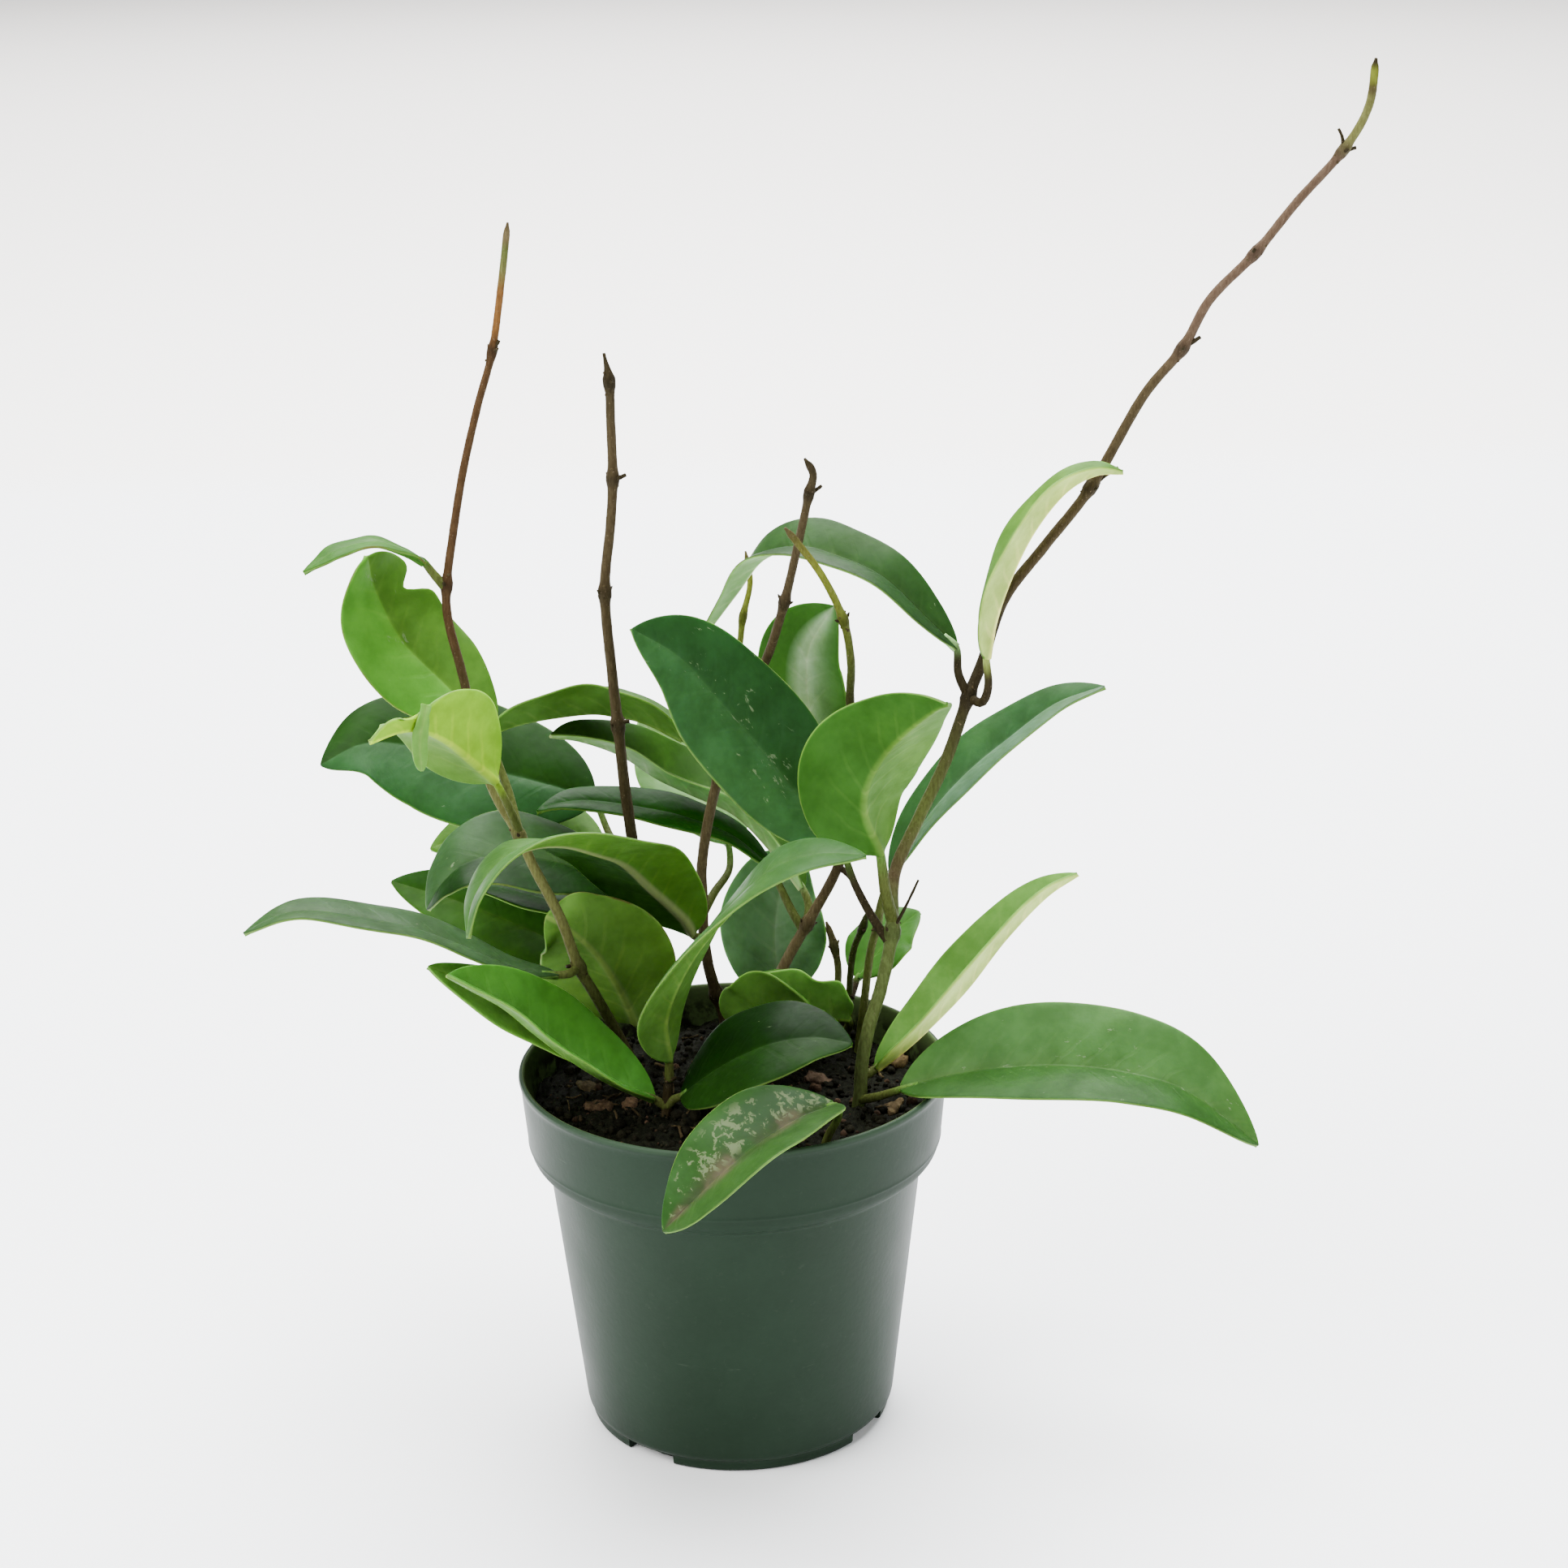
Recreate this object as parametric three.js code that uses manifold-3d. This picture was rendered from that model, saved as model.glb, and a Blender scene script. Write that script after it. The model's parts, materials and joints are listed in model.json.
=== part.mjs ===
// A young hoya in a round nursery pot: waxy folded leaves on thin twining stems, rooted in dark potting mix.
// Millimetres, +Z up. The origin is the middle of the pot's flat underside, and the best side faces -Y.
import * as THREE from "three";
import { mergeVertices } from "three/addons/utils/BufferGeometryUtils.js";
import Module from "manifold-3d";

const wasm = await Module();
wasm.setup();

// Pot
const POT_HEIGHT = 94;
const RIM_RADIUS = 54;
const COLLAR_FOOT_RADIUS = 52;
const COLLAR_FOOT_HEIGHT = 76;
const SHOULDER_RADIUS = 47.2;
const SHOULDER_HEIGHT = 70;
const BODY_FOOT_RADIUS = 39.6;
const FOOT_RADIUS = 38.6;
const FOOT_HEIGHT = 3;
const WALL = 1.5;
const RIM_LIP = 0.5;
const FOOT_BEVEL = { inward: 0.6, height: 0.8 };
// The ledge under the collar, as steps out and up from the shoulder
const LEDGE = [[2.4, 1.2], [4, 3]];
const POT_SIDES = 40;
const SLOT_LENGTH = 14;
const SLOT_HEIGHT = 2.8;
const SLOT_DEPTH = 7;
const SLOT_TURNS = [-127, -33, 53, 143];

// Potting mix
const SOIL_LEVEL = 84;
const SOIL_DOME = 1.2;
const SOIL_RELIEF = 0.7;
const SOIL_RINGS = [44, 33, 22, 11, 0];
const SOIL_SKIRT_GAP = 0.2;
const BROAD_LUMPS = { x: 0.31, y: 0.27, shift: 1.3 };
const FINE_LUMPS = { x: 0.63, y: 0.55, share: 0.6 };
const CLEARANCE = 0.3;
const CHIP_SINK = 0.3;
// Each bark chip: where it lies, its length, width and height, and its turn and tilt in degrees.
const CHIPS = [
  { at: [-34, -6], size: [7, 4, 2.6], turn: 20, tilt: 12 },
  { at: [-26, -3], size: [5, 3.2, 2.4], turn: 75, tilt: -10 },
  { at: [-37, 8], size: [6, 3.5, 2.6], turn: -35, tilt: 8 },
  { at: [23, 7], size: [9, 4.5, 2.8], turn: -25, tilt: 10 },
  { at: [40, -8], size: [6, 3.5, 3], turn: 50, tilt: -14 },
  { at: [42, 20], size: [7, 4, 3], turn: -60, tilt: 12 },
  { at: [14, -27], size: [6, 3.4, 2.4], turn: 10, tilt: 10 },
  { at: [-8, -22], size: [5, 3, 2.2], turn: -50, tilt: -12 },
  { at: [-3, 8], size: [6, 3.6, 2.4], turn: 40, tilt: 9 },
];

// Leaf blades
const BLADE_CORE = 1.5;
const BLADE_EDGE = 0.75;
const BASE_HALF_WIDTH = 1.3;
const TIP_HALF_WIDTH = 0.4;
const BLADE_STATIONS = [0, 0.07, 0.17, 0.3, 0.44, 0.58, 0.71, 0.83, 0.93, 1];
const NOTCHED_STATIONS = [0, 0.1, 0.22, 0.36, 0.5, 0.62, 0.7, 0.76, 0.81, 0.87, 0.94, 1];
const BLADE_COLUMNS = [-1, -0.55, 0, 0.55, 1];
const BLADE_WIDEST = 0.45;
const BASE_FULLNESS = 0.62;

// Stems
const STEM_SIDES = 6;
const STALK_SIDES = 5;
const STEM_STEP = 9;
const LEAST_STEP = 0.8;
const SHOOT_STEPS = 8;
const CURVE_SAMPLES = 200;
const NODE_SWELL = 1.45;
const NODE_REACH = 2.6;
const SPUR_TAPER = 0.3;
const STALK_RADIUS = 1.25;
const STALK_TAPER = 0.35;
// How far a stalk runs into its blade, as a share of the midrib
const STALK_SEAT = 0.05;

const COLOURS = {
  pot: "#3f5a4c",
  soil: "#2a211c",
  stem: "#5b4638",
  youngStem: "#7d8145",
  darkLeaf: "#1f5a31",
  midLeaf: "#34772c",
  paleLeaf: "#86a83c",
};

const material = (color, roughness) => new THREE.MeshStandardMaterial({ color, roughness, metalness: 0 });
const MATERIALS = {
  pot: material(COLOURS.pot, 0.45),
  soil: material(COLOURS.soil, 0.95),
  stem: material(COLOURS.stem, 0.7),
  youngStem: material(COLOURS.youngStem, 0.55),
  darkLeaf: material(COLOURS.darkLeaf, 0.4),
  midLeaf: material(COLOURS.midLeaf, 0.4),
  paleLeaf: material(COLOURS.paleLeaf, 0.45),
};

// Each stem: its path from below the soil to its tip, its radius at both ends, and its leaf nodes.
// A spur is a short stub or dry flower stalk: the path point it grows from, where it ends, and its radius.
const STEMS = {
  vine_right: {
    path: [
      [27, -6, 68], [31, -8, 85], [32, -7, 96], [34, -6, 106],
      [37, -4, 115], [40, 0, 128], [41, 6, 141], [47, 9, 154],
      [54, 12, 168], [60, 15, 184], [64, 18, 193], [69, 18, 208],
      [79, 19, 221], [90, 20, 235], [102, 19, 257],
      [111, 17, 269], [117, 15, 281], [127, 13, 292], [136, 11, 304],
      [146, 9, 316], [151, 7, 326], [152, 6, 337],
    ],
    radius: [1.75, 0.95],
    nodes: [5, 9, 13, 15, 17, 19],
    spurs: [
      { at: 5, to: [46.5, -1, 142], radius: 0.45 },
      { at: 13, to: [96.5, 19, 240], radius: 0.6 },
      { at: 15, to: [115, 15.5, 272], radius: 0.7 },
      { at: 19, to: [144.5, 8, 321], radius: 0.5 },
      { at: 19, to: [149, 9.5, 316.5], radius: 0.6 },
    ],
  },
  vine_left: {
    path: [
      [-20, 14, 68], [-24, 13, 84], [-28, 9, 96], [-34, 4, 111],
      [-38, 2, 120], [-42, 0, 134], [-48, -1, 148],
      [-51, -1, 156], [-57, 1, 167], [-61, 3, 181], [-63, 4, 194],
      [-66, 4, 209], [-66, 4, 218], [-64, 5, 230],
      [-61, 7, 245], [-57, 9, 260], [-53, 10, 273], [-50, 10, 290], [-48, 9, 303],
    ],
    radius: [1.5, 0.8],
    nodes: [4, 7, 12, 16],
    spurs: [
      { at: 4, to: [-41, 1, 120.5], radius: 0.7 },
      { at: 16, to: [-51.2, 9.5, 275.5], radius: 0.5 },
    ],
  },
  vine_mid_left: {
    path: [
      [-19, 31, 68], [-21, 32, 85], [-22, 29, 107], [-23, 27, 130],
      [-25, 26, 150], [-26, 25, 161], [-27, 24, 176],
      [-28, 23, 190], [-29, 21, 211], [-27, 19, 228], [-26, 18, 240],
      [-26, 17, 254], [-26, 16, 264], [-27, 15, 271],
    ],
    radius: [1.65, 1.1],
    nodes: [3, 6, 8, 10, 12],
    spurs: [
      { at: 6, to: [-24, 23.5, 177], radius: 0.7 },
      { at: 10, to: [-22.8, 17.5, 241], radius: 0.7 },
    ],
  },
  vine_mid: {
    path: [
      [-1, 37, 68], [-2, 40, 88], [-4, 40, 96], [-6, 38, 105], [-7, 36, 115], [-7, 34, 125], [-7, 32, 135],
      [-5, 31, 148], [-2, 30, 160], [2, 28, 171], [7, 26, 185], [11, 23, 194], [15, 16, 209], [19, 9, 228],
      [21, 6, 238], [22, 5, 243], [20, 4, 247],
    ],
    radius: [1.6, 0.95],
    nodes: [2, 8, 12, 14],
    spurs: [
      { at: 14, to: [24, 5.5, 240], radius: 0.6 },
      { at: 2, to: [-1.5, 38.5, 96.5], radius: 0.9 },
    ],
    shoots: [
      {
        path: [[-2, 30, 160], [1, 38, 169], [4, 48, 189], [5, 51, 196], [7, 54, 204], [6, 56, 212]],
        radius: [1, 0.7],
      },
    ],
  },
  vine_centre: {
    path: [
      [5, 37, 68], [6, 39, 86], [14, 38, 105], [20, 36, 117], [28, 32, 134], [31, 28, 150], [32, 24, 167],
      [31, 20, 182], [31, 14, 194], [29, 9, 206], [24, 4, 218], [18, 2, 227], [15, 1, 231],
    ],
    radius: [1.6, 0.85],
    nodes: [3, 5, 9],
    spurs: [{ at: 4, to: [31.5, 30.5, 131], radius: 0.9 }],
  },
  stem_dark: {
    path: [[27, 31, 68], [30, 34, 86], [31, 33, 104], [32, 31, 112], [34, 27, 119], [35, 25, 124]],
    radius: [1, 0.8],
    nodes: [4],
    spurs: [],
  },
  stem_olive: {
    path: [[30, 26, 68], [33, 29, 86], [35, 28, 104], [36, 26, 113], [37.5, 24, 120]],
    radius: [1.25, 1],
    nodes: [4],
    spurs: [],
  },
  stem_red: {
    path: [[24, 35, 68], [26, 38, 86], [28, 38, 101], [27, 37, 110], [25, 37, 117]],
    radius: [1.1, 0.9],
    nodes: [3],
    spurs: [],
  },
  stem_front: {
    path: [[-17, -10, 68], [-17, -10, 84], [-16.5, -9.5, 90], [-16, -9, 94]],
    radius: [1.5, 1.2],
    nodes: [3],
    spurs: [],
  },
};

// Each leaf: the stem it grows from (none where its stalk goes straight into the soil), its stalk from
// that stem's axis to the blade, its midrib from base to tip, the way its right-hand side points, its full
// width, and how far both halves fold up from flat in degrees. Where wanted: the side at the tip, where
// the blade is widest, or a notch.
const LEAVES = {
  leaf_right_front: {
    stem: "vine_right", stalk: [[31, -8, 86.5], [35.5, -13, 89.5]],
    rib: [
      [41, -19, 94], [53, -22, 98.5], [65, -25, 101.5], [80, -28, 103],
      [95, -31, 102], [109, -34, 98], [126, -37, 85],
    ],
    side: [-0.18, -0.9, -0.39], width: 35, fold: 21, look: "midLeaf",
  },
  leaf_right_mid: {
    stem: "vine_right", stalk: [[31.7, -7.3, 92.5], [33.5, -6.8, 93]],
    rib: [[35.5, -6, 94], [45, -4, 101], [57.5, 0, 112], [68, 4, 124], [78.5, 7, 134], [87, 9, 139]],
    side: [0.2, -0.97, 0.1], width: 22, fold: 38, look: "midLeaf",
  },
  leaf_right_low: {
    stem: "stem_olive", stalk: [[37.5, 24, 120], [38.7, 22, 128]],
    rib: [[41, 20, 136], [50, 23, 149], [60, 25, 160], [71, 26, 169], [83, 26, 178], [95, 24, 183]],
    side: [0.25, -0.96, -0.12], width: 22, fold: 17, look: "darkLeaf",
  },
  leaf_centre_light: {
    stem: "vine_right", stalk: [[40.3, 1.3, 130.5], [38.3, -2.3, 139.5]], stalkRadius: 1.7,
    rib: [
      [37, -4, 150], [33, -6, 161], [33.5, -9, 170], [37.5, -12, 178.5],
      [43, -17, 186], [48.5, -22, 192], [51.5, -27, 195],
    ],
    side: [-0.87, -0.31, 0.39], width: 34.5, widest: 0.4, fold: 27, look: "paleLeaf",
  },
  leaf_centre_dark: {
    stem: "vine_right", stalk: [[39.4, -1, 125.5], [35.5, 1.5, 131], [31, 2.5, 140]],
    rib: [[28, 3, 149], [19, 6, 160], [9, 8, 173], [-2, 7, 187], [-11, 3, 199], [-22, -3, 208]],
    side: [0.57, 0.69, 0.45], width: 35, fold: 6, look: "darkLeaf",
  },
  leaf_back_centre: {
    stem: "vine_centre", stalk: [[31, 29, 151], [27.5, 32, 157]],
    rib: [[24, 34, 163], [22, 36, 172], [21, 37, 182], [22, 36, 192], [28, 33, 203]],
    side: [0.76, -0.64, 0], width: 30, fold: 12, look: "midLeaf",
  },
  leaf_top_arch: {
    stem: "vine_right", stalk: [[60, 15, 184], [57.5, 15, 190]],
    rib: [
      [57, 15, 196.5], [49, 16, 204.5], [39, 18, 214], [28, 22, 218.5],
      [19, 28, 219.5], [10, 35, 215.5], [3, 41, 205], [-6, 45, 192],
    ],
    side: [0.44, 0.86, 0.26], width: 20, fold: 20, look: "darkLeaf",
  },
  leaf_top_right: {
    stem: "vine_right", stalk: [[60, 15, 184], [63, 11.5, 183.5], [64.5, 10.5, 188]],
    rib: [
      [64, 11, 195], [65.5, 10, 205], [69.5, 10, 216.5], [75, 11, 227],
      [82.5, 12, 236], [90, 13, 240], [97, 14, 240],
    ],
    side: [-0.1, -0.99, 0], width: 20, fold: 30, look: "paleLeaf",
  },
  leaf_left_top: {
    stem: "vine_left", stalk: [[-66, 4, 217], [-69, 3.5, 221]],
    rib: [[-71, 3, 224], [-75, 1, 227], [-82, -2, 230], [-90, -5, 229], [-94, -7, 227], [-98, -9, 225]],
    side: [-0.38, 0.93, -0.01], width: 13, fold: 3, look: "midLeaf",
  },
  leaf_left_notched: {
    stem: "vine_left", stalk: [[-51, -1, 156], [-53.5, 4.5, 165], [-56, 7.5, 172]],
    rib: [
      [-58, 9, 179], [-62.5, 11, 184.5], [-70, 13, 192],
      [-79, 14, 202], [-84.5, 13, 215], [-85.5, 10, 224],
    ],
    side: [0.59, 0.71, 0.37], width: 31, widest: 0.55, fold: 4, look: "midLeaf",
    notch: { edge: 1, at: 0.76, depth: 0.45, length: 0.05 },
  },
  leaf_left_yellow: {
    stem: "vine_left", stalk: [[-51, -1, 157], [-53, -3.5, 164]],
    rib: [
      [-56, -4, 171], [-61, -9, 178], [-66, -15, 185],
      [-71, -22, 190], [-76, -29, 192], [-82, -34, 191],
    ],
    side: [-0.74, -0.16, -0.66], tipSide: [-0.1, 0.9, -0.45], width: 29, widest: 0.38, fold: 34,
    notch: { edge: -1, at: 0.76, depth: 0.85, length: 0.1 }, look: "paleLeaf",
  },
  leaf_left_dark: {
    stem: "vine_mid_left", stalk: [[-24.3, 26.3, 140], [-27, 37, 138], [-31, 49, 138]],
    rib: [[-35, 57, 145], [-46, 58, 149], [-63, 58, 154], [-80, 58, 160], [-94, 57, 162], [-106, 55, 157]],
    side: [0.28, 0.74, 0.61], width: 39, fold: 3, look: "darkLeaf",
  },
  leaf_back_arch: {
    stem: "vine_mid", stalk: [[-2, 30, 160], [-6, 36, 164]],
    rib: [[-11, 40, 167], [-20, 43, 171], [-28, 45, 172.5], [-36, 46, 173], [-52, 45, 171], [-62, 43, 168]],
    side: [0.1, 0.92, -0.3], width: 28, fold: 28, look: "midLeaf",
  },
  leaf_back_green: {
    stem: "vine_centre", stalk: [[20, 36, 117], [20.5, 39, 121]],
    rib: [
      [19, 41, 125], [11, 46, 135], [2, 51, 143], [-9, 53, 148],
      [-18, 52, 153], [-27, 50, 160], [-37, 47, 165], [-45, 42, 168],
    ],
    side: [0.13, 0.99, 0], width: 27, fold: 33, look: "midLeaf",
  },
  leaf_mid_dark: {
    stem: "vine_centre", stalk: [[19, 36.3, 115], [16, 38, 120], [13, 41, 126]],
    rib: [
      [11, 43, 130], [1, 46, 138], [-11, 47, 143], [-23, 47, 146],
      [-35, 44, 149], [-43, 40, 150], [-49, 37, 149],
    ],
    side: [0.07, 0.98, 0.16], width: 18, fold: 8, look: "darkLeaf",
  },
  leaf_arch_mid: {
    stem: "vine_mid", stalk: [[-7, 36.3, 113.5], [-8.5, 33, 115]],
    rib: [
      [-10, 28, 118], [-12, 24, 124], [-20, 15, 136], [-26, 6.5, 145.5], [-32, -4, 152],
      [-40, -14, 158], [-48, -22, 160], [-55, -27, 157], [-60, -30, 150], [-62, -31, 141],
    ],
    side: [-0.96, -0.2, 0], tipSide: [-0.3, 0.9, -0.35], width: 30, fold: 7, look: "midLeaf",
  },
  leaf_left_second: {
    stem: "vine_mid_left", stalk: [[-22.8, 27.3, 126], [-24.5, 27.5, 128]],
    rib: [
      [-27, 29, 130], [-36, 28, 135], [-45, 26, 139], [-57, 22, 142.5],
      [-66, 19, 141.5], [-72, 17, 137], [-76, 15, 131],
    ],
    side: [-0.12, 0.94, 0.31], width: 33, fold: 8, look: "darkLeaf",
  },
  leaf_left_third: {
    stem: "vine_mid_left", stalk: [[-22.2, 28.8, 109], [-23.5, 27, 114]],
    rib: [[-25, 27, 119], [-35, 28, 124], [-48, 29, 128], [-60, 30, 131], [-70, 31, 133]],
    side: [-0.08, 1, 0.05], width: 22, fold: 5, look: "midLeaf",
  },
  leaf_left_low_dark: {
    stem: "vine_mid_left", stalk: [[-21.5, 31, 93], [-25, 33, 97]],
    rib: [[-32, 34, 104], [-42, 36, 111], [-55, 39, 117], [-70, 41, 123], [-88, 42, 129]],
    side: [0.37, 0.77, 0.52], width: 25, fold: 7, look: "darkLeaf",
  },
  leaf_left_far: {
    stem: "vine_mid_left", stalk: [[-23, 27, 131.5], [-26, 38, 129], [-29, 47, 129]],
    rib: [[-33, 52, 132], [-46, 56, 135.5], [-57, 58, 136], [-69, 59, 135], [-79, 58, 132]],
    side: [0.2, 0.9, 0.4], width: 28, fold: 4, look: "midLeaf",
  },
  leaf_left_long: {
    stem: "vine_left", stalk: [[-38, 2, 120], [-40, -1, 119.5]],
    rib: [
      [-43, -2, 119.5], [-53, -4, 122], [-66, -6, 129], [-77, -9, 135],
      [-88, -12, 139], [-100, -14, 142], [-108, -16, 142], [-117, -17, 138],
    ],
    side: [-0.25, 0.97, 0], width: 22, fold: 6, look: "darkLeaf",
  },
  leaf_left_green: {
    stem: "stem_front", stalk: [[-17, -10, 87], [-18.5, -10, 88]],
    rib: [
      [-20, -10, 89], [-31, -13, 96], [-41, -15, 104], [-48, -17, 111],
      [-55, -20, 119], [-63, -22, 125], [-68, -24, 129],
    ],
    side: [0, 0.97, 0.22], width: 28, fold: 34, look: "midLeaf",
  },
  leaf_left_under: {
    stem: "vine_left", stalk: [[-24.8, 12.5, 87.5], [-27, 8, 89.5]],
    rib: [[-30, 3, 94], [-39, -2, 102.5], [-50, -5, 110], [-61, -8, 117.5], [-74, -11, 126]],
    side: [-0.02, 0.96, 0.28], width: 24, fold: 4, look: "darkLeaf",
  },
  leaf_round_light: {
    stem: "vine_mid_left", stalk: [[-21.2, 31.3, 90], [-22.5, 25, 92.5]],
    rib: [[-25, 20, 97], [-28.5, 14, 109], [-34, 10, 120.5], [-40.5, 8, 128], [-46, 9, 131]],
    side: [-0.94, 0.05, -0.34], width: 35, widest: 0.5, fold: 11, look: "paleLeaf",
  },
  leaf_front_arch: {
    stem: "stem_front", stalk: [[-16, -9, 93.5], [-16, -9.2, 96]],
    rib: [
      [-16, -9.5, 99], [-17, -12, 110], [-14, -16, 121], [-8, -20, 133],
      [1, -24, 145], [10, -28, 155], [20, -32, 160], [32, -36, 161],
    ],
    side: [-0.66, -0.75, -0.05], tipSide: [-0.1, -0.97, -0.22], width: 28, fold: 3, look: "midLeaf",
  },
  leaf_low_dark: {
    stem: "stem_front", stalk: [[-17, -10, 87], [-15, -10.5, 89]],
    rib: [[-13, -11, 90], [-8, -13, 95], [0, -15, 101], [10, -17, 106], [20, -19, 108], [29, -21, 107]],
    side: [0, -0.96, -0.28], width: 32, fold: 4, look: "darkLeaf",
  },
  leaf_front_hanging: {
    stem: null, stalk: [[20, -27, 72], [22, -31, 86], [25, -34, 94]],
    rib: [[24, -36, 98], [15, -46, 99], [6, -54, 97], [-1, -60, 94], [-9, -64, 88], [-17, -65, 80]],
    side: [-0.63, 0.76, 0.06], width: 29, fold: 24, look: "darkLeaf",
  },
  leaf_curl_front: {
    stem: "vine_centre", stalk: [[6, 39, 88.5], [7.5, 28, 88.5]],
    rib: [[8, 18, 90], [7, 14, 95], [10, 11, 100], [14, 7, 105], [20, 3, 107]],
    side: [-0.89, -0.12, 0.44], width: 30, fold: 26, look: "midLeaf",
  },
  leaf_curl_back: {
    stem: "stem_dark", stalk: [[30.2, 34, 88], [30.5, 31, 90.5]],
    rib: [[30, 28, 93.5], [24, 24, 96.5], [16, 22, 102], [7, 21, 109]],
    side: [-0.47, 0.85, -0.26], width: 22, fold: 42, look: "midLeaf",
  },
  leaf_back_big: {
    stem: "vine_centre", stalk: [[6, 39, 88], [9.5, 43, 89]],
    rib: [[12, 45, 92], [12, 48, 101], [12, 50, 111], [14, 51, 122], [19, 50, 132]],
    side: [0.87, -0.49, 0], width: 32, fold: 6, look: "darkLeaf",
  },
  leaf_back_right: {
    stem: "stem_dark", stalk: [[30.8, 33.5, 97], [32, 35.5, 99]],
    rib: [[33, 37, 101], [38, 40, 106], [43, 43, 111], [50, 45, 116]],
    side: [0.55, -0.83, 0.1], width: 26, fold: 8, look: "midLeaf",
  },
  leaf_back_far: {
    stem: "vine_mid", stalk: [[-7, 34.7, 121], [-4, 42, 124], [0, 51, 127]],
    rib: [[0, 57, 132], [-7, 66, 141], [-15, 71, 149], [-20, 73, 157], [-23, 73, 163]],
    side: [0.54, 0.83, 0.11], width: 33, fold: 3, look: "midLeaf",
  },
};

const vector = ([x, y, z]) => new THREE.Vector3(x, y, z);
const smoothCurve = (points) => new THREE.CatmullRomCurve3(points.map(vector), false, "catmullrom", 0.5);

// A three.js geometry as a solid, after its shared vertices are merged.
function toSolid(geometry) {
  const bare = geometry.index ? geometry.toNonIndexed() : geometry.clone();
  bare.deleteAttribute("normal");
  bare.deleteAttribute("uv");
  const merged = mergeVertices(bare, 1e-4);
  const mesh = new wasm.Mesh({
    numProp: 3,
    vertProperties: merged.attributes.position.array,
    triVerts: new Uint32Array(merged.index.array),
  });
  return new wasm.Manifold(mesh);
}

// A solid as a named mesh.
function toMesh(name, solid, look) {
  const made = solid.getMesh();
  const geometry = new THREE.BufferGeometry();
  geometry.setAttribute("position", new THREE.BufferAttribute(new Float32Array(made.vertProperties), 3));
  geometry.setIndex(new THREE.BufferAttribute(new Uint32Array(made.triVerts), 1));
  geometry.computeVertexNormals();
  const mesh = new THREE.Mesh(geometry, MATERIALS[look]);
  mesh.name = name;
  return mesh;
}

// The one body of a solid that matters, without the slivers that a cut may leave.
function largestBody(solid) {
  return solid.decompose().sort((a, b) => b.volume() - a.volume())[0];
}

// A closed skin over rings that each hold the same number of points, capped at both ends.
function loft(rings) {
  const count = rings[0].length;
  const positions = rings.flat().flatMap((point) => point.toArray());
  const index = [];
  for (let ring = 0; ring + 1 < rings.length; ring += 1) {
    for (let k = 0; k < count; k += 1) {
      const a = ring * count + k;
      const b = ring * count + ((k + 1) % count);
      index.push(a, b, b + count, a, b + count, a + count);
    }
  }
  const last = (rings.length - 1) * count;
  for (let k = 1; k + 1 < count; k += 1) {
    index.push(0, k + 1, k);
    index.push(last, last + k, last + k + 1);
  }
  const geometry = new THREE.BufferGeometry();
  geometry.setAttribute("position", new THREE.Float32BufferAttribute(positions, 3));
  geometry.setIndex(index);
  return toSolid(geometry);
}

// A round tube along a curve, with its radius given at each place by radiusAt.
function tube(curve, places, radiusAt, sides) {
  let normal = new THREE.Vector3(1, 0.2, 0.1);
  const rings = places.map((place) => {
    const centre = curve.getPointAt(place);
    const tangent = curve.getTangentAt(place);
    normal = normal.clone().addScaledVector(tangent, -normal.dot(tangent)).normalize();
    const across = tangent.clone().cross(normal);
    return Array.from({ length: sides }, (_, k) => {
      const angle = (2 * Math.PI * k) / sides;
      const reach = normal.clone().multiplyScalar(Math.cos(angle)).addScaledVector(across, Math.sin(angle));
      return centre.clone().addScaledVector(reach, radiusAt(place));
    });
  });
  return loft(rings);
}

// How far along a curve a point of its list lies, from 0 to 1.
function placeOfPoint(curve, pointIndex) {
  const lengths = curve.getLengths(CURVE_SAMPLES);
  const whole = lengths[lengths.length - 1];
  const sample = (pointIndex / (curve.points.length - 1)) * CURVE_SAMPLES;
  const low = Math.floor(sample);
  const high = Math.min(low + 1, CURVE_SAMPLES);
  return (lengths[low] + (lengths[high] - lengths[low]) * (sample - low)) / whole;
}

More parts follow.
